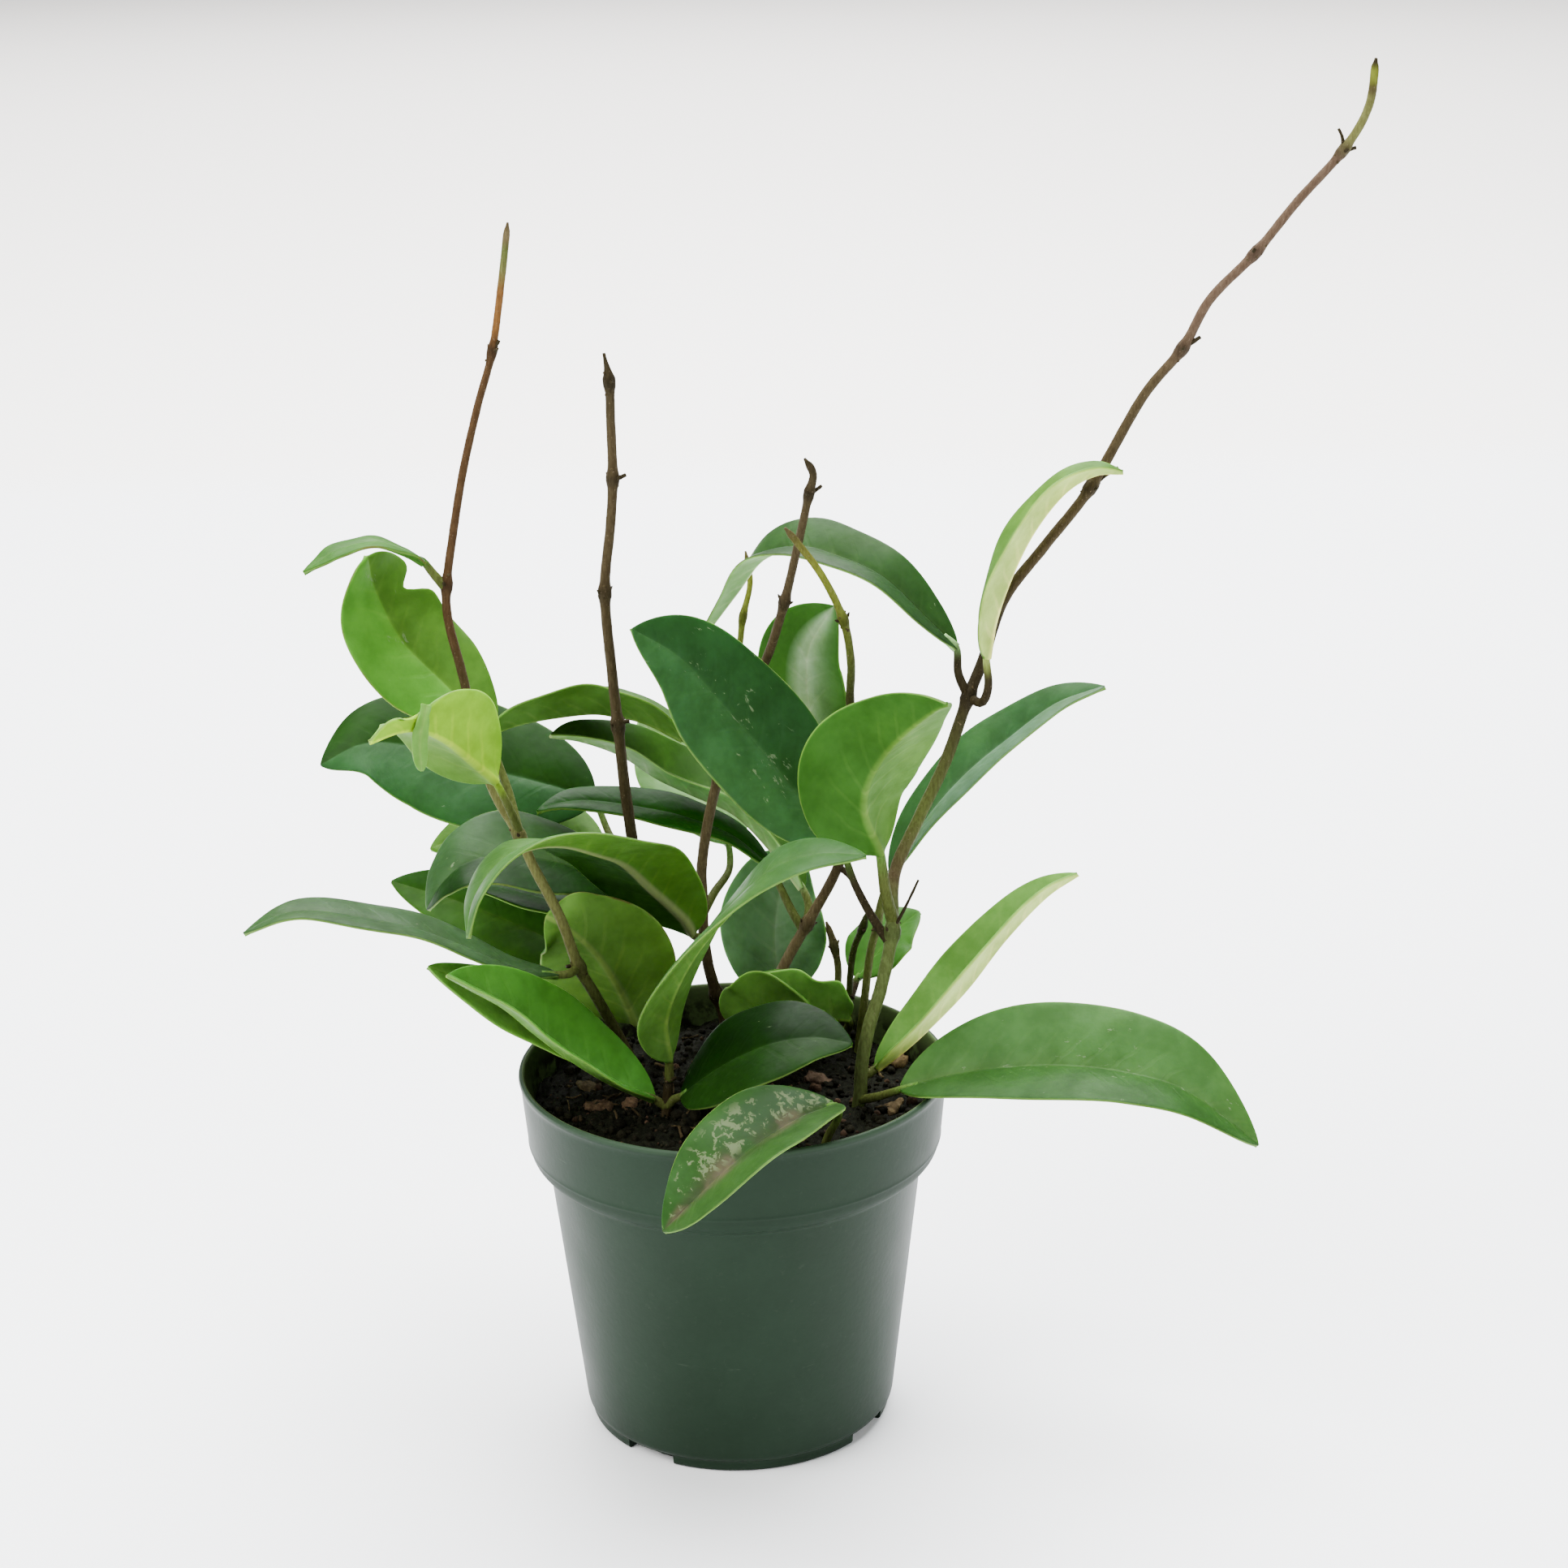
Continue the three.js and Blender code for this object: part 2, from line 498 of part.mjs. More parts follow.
// A stem: a tapering tube with a swelling at each leaf node, its spurs and its side shoots in one solid.
function stemSolid(stem, extra = 0) {
  const curve = smoothCurve(stem.path);
  const length = curve.getLength();
  const nodes = stem.nodes.map((pointIndex) => placeOfPoint(curve, pointIndex));
  const steps = Math.ceil(length / STEM_STEP);
  const places = Array.from({ length: steps + 1 }, (_, k) => k / steps);
  for (const node of nodes) {
    for (const offset of [-NODE_REACH, 0, NODE_REACH]) {
      places.push(Math.min(node + offset / length, 1));
    }
  }
  const apart = LEAST_STEP / length;
  const sorted = [...new Set(places)].sort((a, b) => a - b);
  const kept = sorted.filter((place, k) => k === 0 || place === 1 || place - sorted[k - 1] > apart);
  const radiusAt = (place) => {
    const plain = THREE.MathUtils.lerp(stem.radius[0], stem.radius[1], place);
    const nearest = Math.min(...nodes.map((node) => Math.abs(node - place) * length), NODE_REACH);
    const swell = 1 - nearest / NODE_REACH;
    return plain * (1 + (NODE_SWELL - 1) * swell) + extra;
  };
  let solid = tube(curve, kept, radiusAt, STEM_SIDES);
  for (const spur of stem.spurs) {
    const line = smoothCurve([stem.path[spur.at], spur.to]);
    const thin = (place) => spur.radius * (1 - SPUR_TAPER * place) + extra;
    solid = solid.add(tube(line, [0, 1], thin, STEM_SIDES));
  }
  for (const shoot of stem.shoots ?? []) {
    const line = smoothCurve(shoot.path);
    const thin = (place) => THREE.MathUtils.lerp(shoot.radius[0], shoot.radius[1], place) + extra;
    const shootPlaces = Array.from({ length: SHOOT_STEPS + 1 }, (_, k) => k / SHOOT_STEPS);
    solid = solid.add(tube(line, shootPlaces, thin, STEM_SIDES));
  }
  return largestBody(solid);
}

// How wide a blade is at a place along its midrib, as a share of its widest.
function outline(place, widest) {
  const taper = (BASE_FULLNESS * (1 - widest)) / widest;
  const rise = Math.max(place, 0) / widest;
  const fall = Math.max(1 - place, 0) / (1 - widest);
  return rise ** BASE_FULLNESS * fall ** taper;
}

// One ring round a blade: its upper face from left to right, then its lower face back.
function bladeRing(leaf, curve, place) {
  const centre = curve.getPointAt(place);
  const tangent = curve.getTangentAt(place);
  const side = vector(leaf.side).lerp(vector(leaf.tipSide ?? leaf.side), place);
  side.addScaledVector(tangent, -side.dot(tangent)).normalize();
  const up = side.clone().cross(tangent);
  const least = THREE.MathUtils.lerp(BASE_HALF_WIDTH, TIP_HALF_WIDTH, place);
  const half = Math.max((leaf.width / 2) * outline(place, leaf.widest ?? BLADE_WIDEST), least);
  const foldAngle = THREE.MathUtils.degToRad(leaf.fold);
  const upper = [];
  const lower = [];
  for (const column of BLADE_COLUMNS) {
    const reach = Math.abs(column);
    const notch = leaf.notch && leaf.notch.edge * column > 0
      ? 1 - leaf.notch.depth * Math.exp(-(((place - leaf.notch.at) / leaf.notch.length) ** 2)) * reach
      : 1;
    const lateral = column * half * Math.cos(foldAngle) * notch;
    const rise = reach * half * Math.sin(foldAngle) * notch;
    const point = centre.clone().addScaledVector(side, lateral).addScaledVector(up, rise);
    const tilt = Math.sign(column) * foldAngle;
    const outward = up.clone().multiplyScalar(Math.cos(tilt)).addScaledVector(side, -Math.sin(tilt));
    const thickness = THREE.MathUtils.lerp(BLADE_CORE, BLADE_EDGE, reach);
    upper.push(point.clone().addScaledVector(outward, thickness / 2));
    lower.push(point.clone().addScaledVector(outward, -thickness / 2));
  }
  return { upper, lower };
}

// A blade: two alike faces split into the same triangles, closed round the edge.
function bladeSolid(leaf) {
  const curve = smoothCurve(leaf.rib);
  const places = leaf.notch ? NOTCHED_STATIONS : BLADE_STATIONS;
  const rings = places.map((place) => bladeRing(leaf, curve, place));
  const columns = BLADE_COLUMNS.length;
  const points = rings.flatMap(({ upper, lower }) => [...upper, ...lower]);
  const positions = points.flatMap((point) => point.toArray());
  const top = (ring, column) => ring * columns * 2 + column;
  const bottom = (ring, column) => top(ring, column) + columns;
  const index = [];
  for (let ring = 0; ring + 1 < rings.length; ring += 1) {
    for (let c = 0; c + 1 < columns; c += 1) {
      index.push(top(ring, c), top(ring, c + 1), top(ring + 1, c + 1));
      index.push(top(ring, c), top(ring + 1, c + 1), top(ring + 1, c));
      index.push(bottom(ring, c), bottom(ring + 1, c + 1), bottom(ring, c + 1));
      index.push(bottom(ring, c), bottom(ring + 1, c), bottom(ring + 1, c + 1));
    }
    const end = columns - 1;
    index.push(top(ring, 0), top(ring + 1, 0), bottom(ring + 1, 0));
    index.push(top(ring, 0), bottom(ring + 1, 0), bottom(ring, 0));
    index.push(top(ring, end), bottom(ring + 1, end), top(ring + 1, end));
    index.push(top(ring, end), bottom(ring, end), bottom(ring + 1, end));
  }
  const last = rings.length - 1;
  for (let c = 0; c + 1 < columns; c += 1) {
    index.push(top(0, c), bottom(0, c), bottom(0, c + 1));
    index.push(top(0, c), bottom(0, c + 1), top(0, c + 1));
    index.push(top(last, c), bottom(last, c + 1), bottom(last, c));
    index.push(top(last, c), top(last, c + 1), bottom(last, c + 1));
  }
  const geometry = new THREE.BufferGeometry();
  geometry.setAttribute("position", new THREE.Float32BufferAttribute(positions, 3));
  geometry.setIndex(index);
  return toSolid(geometry);
}

// The stalk of a leaf, running a little way into its blade.
function stalkSolid(leaf, extra = 0) {
  const seat = smoothCurve(leaf.rib).getPointAt(STALK_SEAT).toArray();
  const curve = smoothCurve([...leaf.stalk, leaf.rib[0], seat]);
  const steps = leaf.stalk.length + 2;
  const places = Array.from({ length: steps + 1 }, (_, k) => k / steps);
  const thick = leaf.stalkRadius ?? STALK_RADIUS;
  return tube(curve, places, (place) => thick * (1 - STALK_TAPER * place) + extra, STALK_SIDES);
}

function leafSolid(leaf, fatStems) {
  const whole = bladeSolid(leaf).add(stalkSolid(leaf));
  return largestBody(leaf.stem ? whole.subtract(fatStems[leaf.stem]) : whole);
}

function lathe(profile) {
  const points = profile.map(([radius, height]) => new THREE.Vector2(radius, height));
  return new THREE.LatheGeometry(points, POT_SIDES).rotateX(Math.PI / 2);
}

// The pot: a tapering body on a set-back foot, a wider collar with a lip, and four drain slots at its foot.
function potSolid() {
  const collarInside = COLLAR_FOOT_RADIUS - WALL;
  let solid = toSolid(
    lathe([
      [0, 0], [FOOT_RADIUS - FOOT_BEVEL.inward, 0], [FOOT_RADIUS, FOOT_BEVEL.height],
      [FOOT_RADIUS, FOOT_HEIGHT], [BODY_FOOT_RADIUS, FOOT_HEIGHT + FOOT_BEVEL.height],
      [SHOULDER_RADIUS, SHOULDER_HEIGHT],
      ...LEDGE.map(([out, up]) => [SHOULDER_RADIUS + out, SHOULDER_HEIGHT + up]),
      [COLLAR_FOOT_RADIUS, COLLAR_FOOT_HEIGHT], [RIM_RADIUS - RIM_LIP, POT_HEIGHT - 2],
      [RIM_RADIUS, POT_HEIGHT - 1],
      [RIM_RADIUS - 0.3, POT_HEIGHT], [RIM_RADIUS - WALL, POT_HEIGHT],
      [RIM_RADIUS - WALL - 0.4, POT_HEIGHT - 2],
      [collarInside, COLLAR_FOOT_HEIGHT], [SHOULDER_RADIUS - WALL, SHOULDER_HEIGHT],
      [BODY_FOOT_RADIUS - WALL, FOOT_HEIGHT], [BODY_FOOT_RADIUS - WALL - 1, WALL], [0, WALL],
    ]),
  );
  for (const turn of SLOT_TURNS) {
    const slot = new THREE.BoxGeometry(SLOT_DEPTH * 2, SLOT_LENGTH, SLOT_HEIGHT * 2);
    slot.translate(FOOT_RADIUS, 0, 0).rotateZ(THREE.MathUtils.degToRad(turn));
    solid = solid.subtract(toSolid(slot));
  }
  return solid;
}

// The surface of the potting mix: a slight dome with lumps.
function soilHeight(x, y) {
  const reach = Math.hypot(x, y) / RIM_RADIUS;
  const dome = SOIL_DOME * (1 - reach * reach);
  const broad = Math.sin(x * BROAD_LUMPS.x + BROAD_LUMPS.shift) * Math.cos(y * BROAD_LUMPS.y);
  const fine = Math.sin(x * FINE_LUMPS.x - y * FINE_LUMPS.y) * FINE_LUMPS.share;
  return SOIL_LEVEL + dome + SOIL_RELIEF * (broad + fine);
}

// A bark chip, half sunk in the potting mix.
function chipSolid(chip) {
  const [x, y] = chip.at;
  const box = new THREE.BoxGeometry(...chip.size);
  box.rotateY(THREE.MathUtils.degToRad(chip.tilt)).rotateZ(THREE.MathUtils.degToRad(chip.turn));
  return toSolid(box.translate(x, y, soilHeight(x, y) + CHIP_SINK));
}

function soilSolid(fatRoots) {
  const floor = WALL + CLEARANCE;
  const inside = (radius) => radius - WALL - CLEARANCE;
  const skirt = inside(COLLAR_FOOT_RADIUS) - SOIL_SKIRT_GAP;
  const geometry = lathe([
    [0, floor], [inside(BODY_FOOT_RADIUS) - 1, floor], [inside(BODY_FOOT_RADIUS), FOOT_HEIGHT + CLEARANCE],
    [inside(SHOULDER_RADIUS) - SOIL_SKIRT_GAP, SHOULDER_HEIGHT], [skirt, COLLAR_FOOT_HEIGHT],
    [skirt, SOIL_LEVEL], ...SOIL_RINGS.map((radius) => [radius, SOIL_LEVEL]),
  ]);
  const position = geometry.attributes.position;
  for (let k = 0; k < position.count; k += 1) {
    if (position.getZ(k) > SOIL_LEVEL - 1) {
      position.setZ(k, soilHeight(position.getX(k), position.getY(k)));
    }
  }
  let solid = CHIPS.reduce((soil, chip) => soil.add(chipSolid(chip)), toSolid(geometry));
  for (const root of fatRoots) {
    solid = solid.subtract(root);
  }
  return solid;
}

const group = new THREE.Group();
const fatStems = {};
for (const [name, stem] of Object.entries(STEMS)) {
  fatStems[name] = stemSolid(stem, CLEARANCE);
}
const plantedLeaves = Object.values(LEAVES).filter((leaf) => !leaf.stem);
const plantedStalks = plantedLeaves.map((leaf) => stalkSolid(leaf, CLEARANCE));

group.add(toMesh("pot", potSolid(), "pot"));
group.add(toMesh("soil", soilSolid([...Object.values(fatStems), ...plantedStalks]), "soil"));
for (const [name, stem] of Object.entries(STEMS)) {
  group.add(toMesh(name, stemSolid(stem), name === "stem_olive" ? "youngStem" : "stem"));
}
for (const [name, leaf] of Object.entries(LEAVES)) {
  group.add(toMesh(name, leafSolid(leaf, fatStems), leaf.look));
}

export default group;
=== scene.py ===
import json
import math

import bmesh
import bpy
import numpy as np
from mathutils import Matrix, Vector


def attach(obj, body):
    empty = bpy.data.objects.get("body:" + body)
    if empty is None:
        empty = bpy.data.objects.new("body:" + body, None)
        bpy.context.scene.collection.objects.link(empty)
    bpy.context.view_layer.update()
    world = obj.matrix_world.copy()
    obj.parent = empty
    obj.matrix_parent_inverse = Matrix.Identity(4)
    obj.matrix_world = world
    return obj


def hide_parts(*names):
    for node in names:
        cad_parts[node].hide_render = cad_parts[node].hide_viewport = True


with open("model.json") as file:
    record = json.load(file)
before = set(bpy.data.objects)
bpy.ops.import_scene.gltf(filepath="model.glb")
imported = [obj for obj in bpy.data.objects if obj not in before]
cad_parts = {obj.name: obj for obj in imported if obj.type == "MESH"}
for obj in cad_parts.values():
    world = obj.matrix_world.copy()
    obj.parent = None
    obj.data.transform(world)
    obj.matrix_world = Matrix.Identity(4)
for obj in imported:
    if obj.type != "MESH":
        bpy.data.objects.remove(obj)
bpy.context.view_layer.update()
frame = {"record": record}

MM = 0.001
LEAF_SEED = 7
STEM_SEED = 11
SOIL_SEED = 3

# Pot, as in the solid
POT_HEIGHT = 94
RIM_RADIUS = 54
COLLAR_FOOT_RADIUS = 52
COLLAR_FOOT_HEIGHT = 76
SHOULDER_RADIUS = 47.2
SHOULDER_HEIGHT = 70
BODY_FOOT_RADIUS = 39.6
FOOT_RADIUS = 38.6
FOOT_HEIGHT = 3
WALL = 1.5
RIM_LIP = 0.5
RIDGE_HEIGHT = 0.2
POT_ROUNDING = 0.9
ROUNDING_SHARE = 0.4
POT_SIDES = 180
SHARP_ANGLE = 50
SLOT_LENGTH = 14
SLOT_HEIGHT = 2.8
SLOT_DEPTH = 7
SLOT_TURNS = (-127, -33, 53, 143)
MID_WALL_RADIUS = 51.25
COLLAR_FLARE = 0.097

# Outline of the pot from the middle of its underside round the rim to its floor, as radius and height
POT_OUTLINE = (
    (0, 0), (FOOT_RADIUS - 0.6, 0), (FOOT_RADIUS, 0.8), (FOOT_RADIUS, FOOT_HEIGHT),
    (BODY_FOOT_RADIUS, FOOT_HEIGHT + 0.8), (SHOULDER_RADIUS, SHOULDER_HEIGHT),
    (SHOULDER_RADIUS + 2.4, SHOULDER_HEIGHT + 1.2), (SHOULDER_RADIUS + 4, SHOULDER_HEIGHT + 3),
    (COLLAR_FOOT_RADIUS, COLLAR_FOOT_HEIGHT - 0.5), (COLLAR_FOOT_RADIUS + RIDGE_HEIGHT, COLLAR_FOOT_HEIGHT),
    (COLLAR_FOOT_RADIUS + 0.1, COLLAR_FOOT_HEIGHT + 0.5), (RIM_RADIUS - RIM_LIP, POT_HEIGHT - 2.2),
    (RIM_RADIUS, POT_HEIGHT - 1.1), (RIM_RADIUS - 0.3, POT_HEIGHT), (RIM_RADIUS - WALL, POT_HEIGHT),
    (RIM_RADIUS - WALL - 0.4, POT_HEIGHT - 2), (COLLAR_FOOT_RADIUS - WALL, COLLAR_FOOT_HEIGHT),
    (SHOULDER_RADIUS - WALL, SHOULDER_HEIGHT), (BODY_FOOT_RADIUS - WALL, FOOT_HEIGHT),
    (BODY_FOOT_RADIUS - WALL - 1, WALL), (0, WALL),
)

# Potting mix, the crumbs, chips and twigs on it, and a painted shadow in each drain slot. A pair is the least
# and the most of a random value.
SOIL_LEVEL = 84
SOIL_DOME = 1.2
SOIL_RELIEF = 0.7
SOIL_LUMPS = (0.31, 0.27, 0.63, 0.55)
LUMP_SHIFT = 1.3
SMALL_LUMP_SHARE = 0.6
SOIL_EDGE_RADIUS = 50.4
SOIL_CORE_RADIUS = 0.5
SOIL_RINGS = 90
SOIL_SIDES = 220
SOIL_SKIN = (0.0064, 0.0072, 0.0035)
SOIL_SHADES = (0.6, 1.6)
RIPPLES = ((1.1, 0.45), (2.3, 0.3), (5.1, 0.18))
RIPPLE_SHIFTS = (0, 6.28)
RIPPLE_BENDS = (1.7, 1.6)
RIPPLE_PITCHES = (0.7, 0.9, 0.8)
CLEARANCE = 0.3
CRUMB_COUNT = 1500
CRUMB_RADII = (0.35, 1.5)
FINE_CRUMB_RADIUS = 0.8
CRUMB_SEAT = 0.25
CRUMB_MARGIN = 2
CRUMB_SHADES = (0.5, 1.5)
LUMP_STRETCHES = (0.65, 1.25)
LUMP_UNEVENNESS = (0.8, 1.15)
PEAT_SHARE = 0.9
PEAT_CRUMB_SKIN = (0.0095, 0.009, 0.0046)
BARK_CRUMB_SKIN = (0.05, 0.03, 0.018)
CHIP_SINK = 0.3
CHIP_CUTS = 5
CHIP_ROUGHNESS = 0.45
CHIP_SHADE = (0.44, 0.48, 0.4)
CHIP_TAPER = 0.5
CHIP_TAPER_START = 0.3
CHIP_WARP = 0.35
CHIP_WAVES = 2.3
CHIP_SHADES = (0.75, 1.2)
BLOCK_CORNERS = (0.75, 0.55)
# The painted shadow in each drain slot: its depth, its scale and its near-black colour
SLOT_SHADOW_DEPTH = 4.5
SLOT_SHADOW_SCALE = 0.86
SLOT_SHADOW_SKIN = (0.003, 0.0025, 0.002)
TWIG_COUNT = 90
TWIG_LENGTHS = (2, 6)
TWIG_RADII = (0.18, 0.42)
TWIG_HEIGHTS = (0.1, 1.1)
TWIG_STEPS = 8
TWIG_SIDES = 7
TWIG_MARGIN = 8
TWIG_UNEVENNESS = (0.75, 1.2)
TWIG_SHADES = (0.35, 1.5)

# Leaves. A pair runs from the base to the tip, or from the midrib to the margin.
WIDEST_AT = 0.45
BLADE_THICKNESS = (1.3, 0.72)
LEAST_HALF_WIDTHS = (1.3, 0.3)
MARGIN_SHARE = 0.06
MARGIN_ROUNDING = 0.97
BASE_FULLNESS = 0.62
BLADE_STATIONS = 64
HALF_COLUMNS = (0.03, 0.07, 0.14, 0.25, 0.4, 0.55, 0.7, 0.82, 0.9, 0.95, 0.98, 1)
FOLD_ROUNDING = 0.06
HALF_BULGE = 0.16
MARGIN_WAVE = 0.4
WAVES_PER_BLADE = 2.3
GROOVE_DEPTH = 0.28
GROOVE_WIDTH = 0.8
GROOVE_TAPER = 0.7
RIB_HEIGHT = 0.65
RIB_WIDTH = 1.0
RIB_TAPER = 0.85
FLECKS = 0.05
VEIN_SPACING = 6.5
VEIN_SLANT = 0.85
VEIN_DRIFT = 0.004
UNDER_TONE = "grass"
HALF_BLEND = 0.06
# How softly a painted sheen on a leaf starts
SHEEN_BLEND = 0.05
STALK_RADIUS = 1.25
STALK_TAPER = 0.35
STALK_GREENING = (0.55, 1)
STALK_SEAT = 0.05
STALK_STEPS = 20
STALK_SIDES = 12

# Stems, and the buds, hairs, spurs and root bumps on them
CURVE_STEPS = 40
TANGENT_REACH = 0.002
STEM_SIDES = 16
STEM_STEP = 0.9
LEAST_RINGS = 12
TIP_TAPER = 0.65
TIP_REACH = 2.5
DRY_TIP_REACH = 7
NODE_SWELL = 0.5
NODE_LENGTH = 1.9
NODE_PINCH = 0.12
PINCH_LENGTH = 0.3
NODE_DARKENING = 0.5
BARK_RELIEF = 0.03
BARK_DRIFT = 0.9
BUD_LENGTH = 1.1
BUD_RADII = 0.55 * np.array((1.1, 1.1, 1, 0.85, 0.6, 0.25))
BUD_BEND = 1.2
BUD_LIFT = 0.3
BUD_SIDES = 8
HAIRS_PER_MM = 7
HAIR_SPAN = (0.03, 0.99)
HAIR_LENGTHS = (0.2, 0.45)
HAIR_RADIUS = 0.035
HAIR_SEAT = 0.85
HAIR_LEANS = (-0.3, 0.6)
HAIR_FACES = ((0, 1, 3), (1, 2, 3), (2, 0, 3), (0, 2, 1))
HAIR_COLOUR = (0.12, 0.09, 0.055)
SPUR_STEPS = 10
SPUR_SIDES = 10
SPUR_TAPER = 0.3
SPUR_BEND = 0.4
SPUR_UNEVENNESS = (0.9, 1.12)
BUMPS_PER_NODE = 5
BUMP_REACH = 3
BUMP_RADIUS = 0.45
SHOOT_SKIN = ((0, "umber"), (0.25, "moss"), (0.9, "sprout"), (1, "bark"))
SHOOT_NODE = 3

# Camera, at the place that fits the pot's rim and foot in the photo
CAMERA_PLACE = (0, -694.4, 397.3)
CAMERA_PITCH = 18.32
CAMERA_YAW = 1.14
CAMERA_ROLL = -0.92
FOCAL_PIXELS = 3700
PHOTO_PIXELS = 1932
SENSOR_WIDTH = 36

# Studio, in metres: each lamp's name, place and target, its width, its power in watts and its colour
FLOOR_REACH = 9
WORLD_COLOUR = (1, 0.995, 0.98, 1)
WORLD_STRENGTH = 0.35
LAMPS = (
    ("window", (-1.0, -0.6, 1.1), (0, 0, 0.14), 1.2, 52, (1.0, 0.99, 0.96)),
    ("top", (0.1, 0.7, 1.7), (0.05, 0.6, 0), 1.8, 185, (0.985, 0.99, 1.0)),
    ("fill", (1.0, -0.9, 0.7), (0, 0, 0.14), 1.0, 14, (1, 1, 1)),
    ("backdrop", (0, 3.4, 2.4), (0, 4.0, 0), 3.5, 400, (1.0, 0.985, 0.975)),
)

# Each bark chip: where it lies, its length, width and height, turn and tilt in degrees, and colour
CHIPS = (
    dict(at=(-34, -6), size=(7, 4, 2.6), turn=20, tilt=12, tone=(0.2, 0.12, 0.08)),
    dict(at=(-26, -3), size=(5, 3.2, 2.4), turn=75, tilt=-10, tone=(0.26, 0.15, 0.1)),
    dict(at=(-37, 8), size=(6, 3.5, 2.6), turn=-35, tilt=8, tone=(0.14, 0.1, 0.06)),
    dict(at=(23, 7), size=(9, 4.5, 2.8), turn=-25, tilt=10, tone=(0.24, 0.15, 0.12)),
    dict(at=(40, -8), size=(6, 3.5, 3), turn=50, tilt=-14, tone=(0.3, 0.2, 0.12)),
    dict(at=(42, 20), size=(7, 4, 3), turn=-60, tilt=12, tone=(0.28, 0.18, 0.1)),
    dict(at=(14, -27), size=(6, 3.4, 2.4), turn=10, tilt=10, tone=(0.3, 0.17, 0.08)),
    dict(at=(-8, -22), size=(5, 3, 2.2), turn=-50, tilt=-12, tone=(0.14, 0.09, 0.06)),
    dict(at=(-3, 8), size=(6, 3.6, 2.4), turn=40, tilt=9, tone=(0.16, 0.1, 0.07)),
)

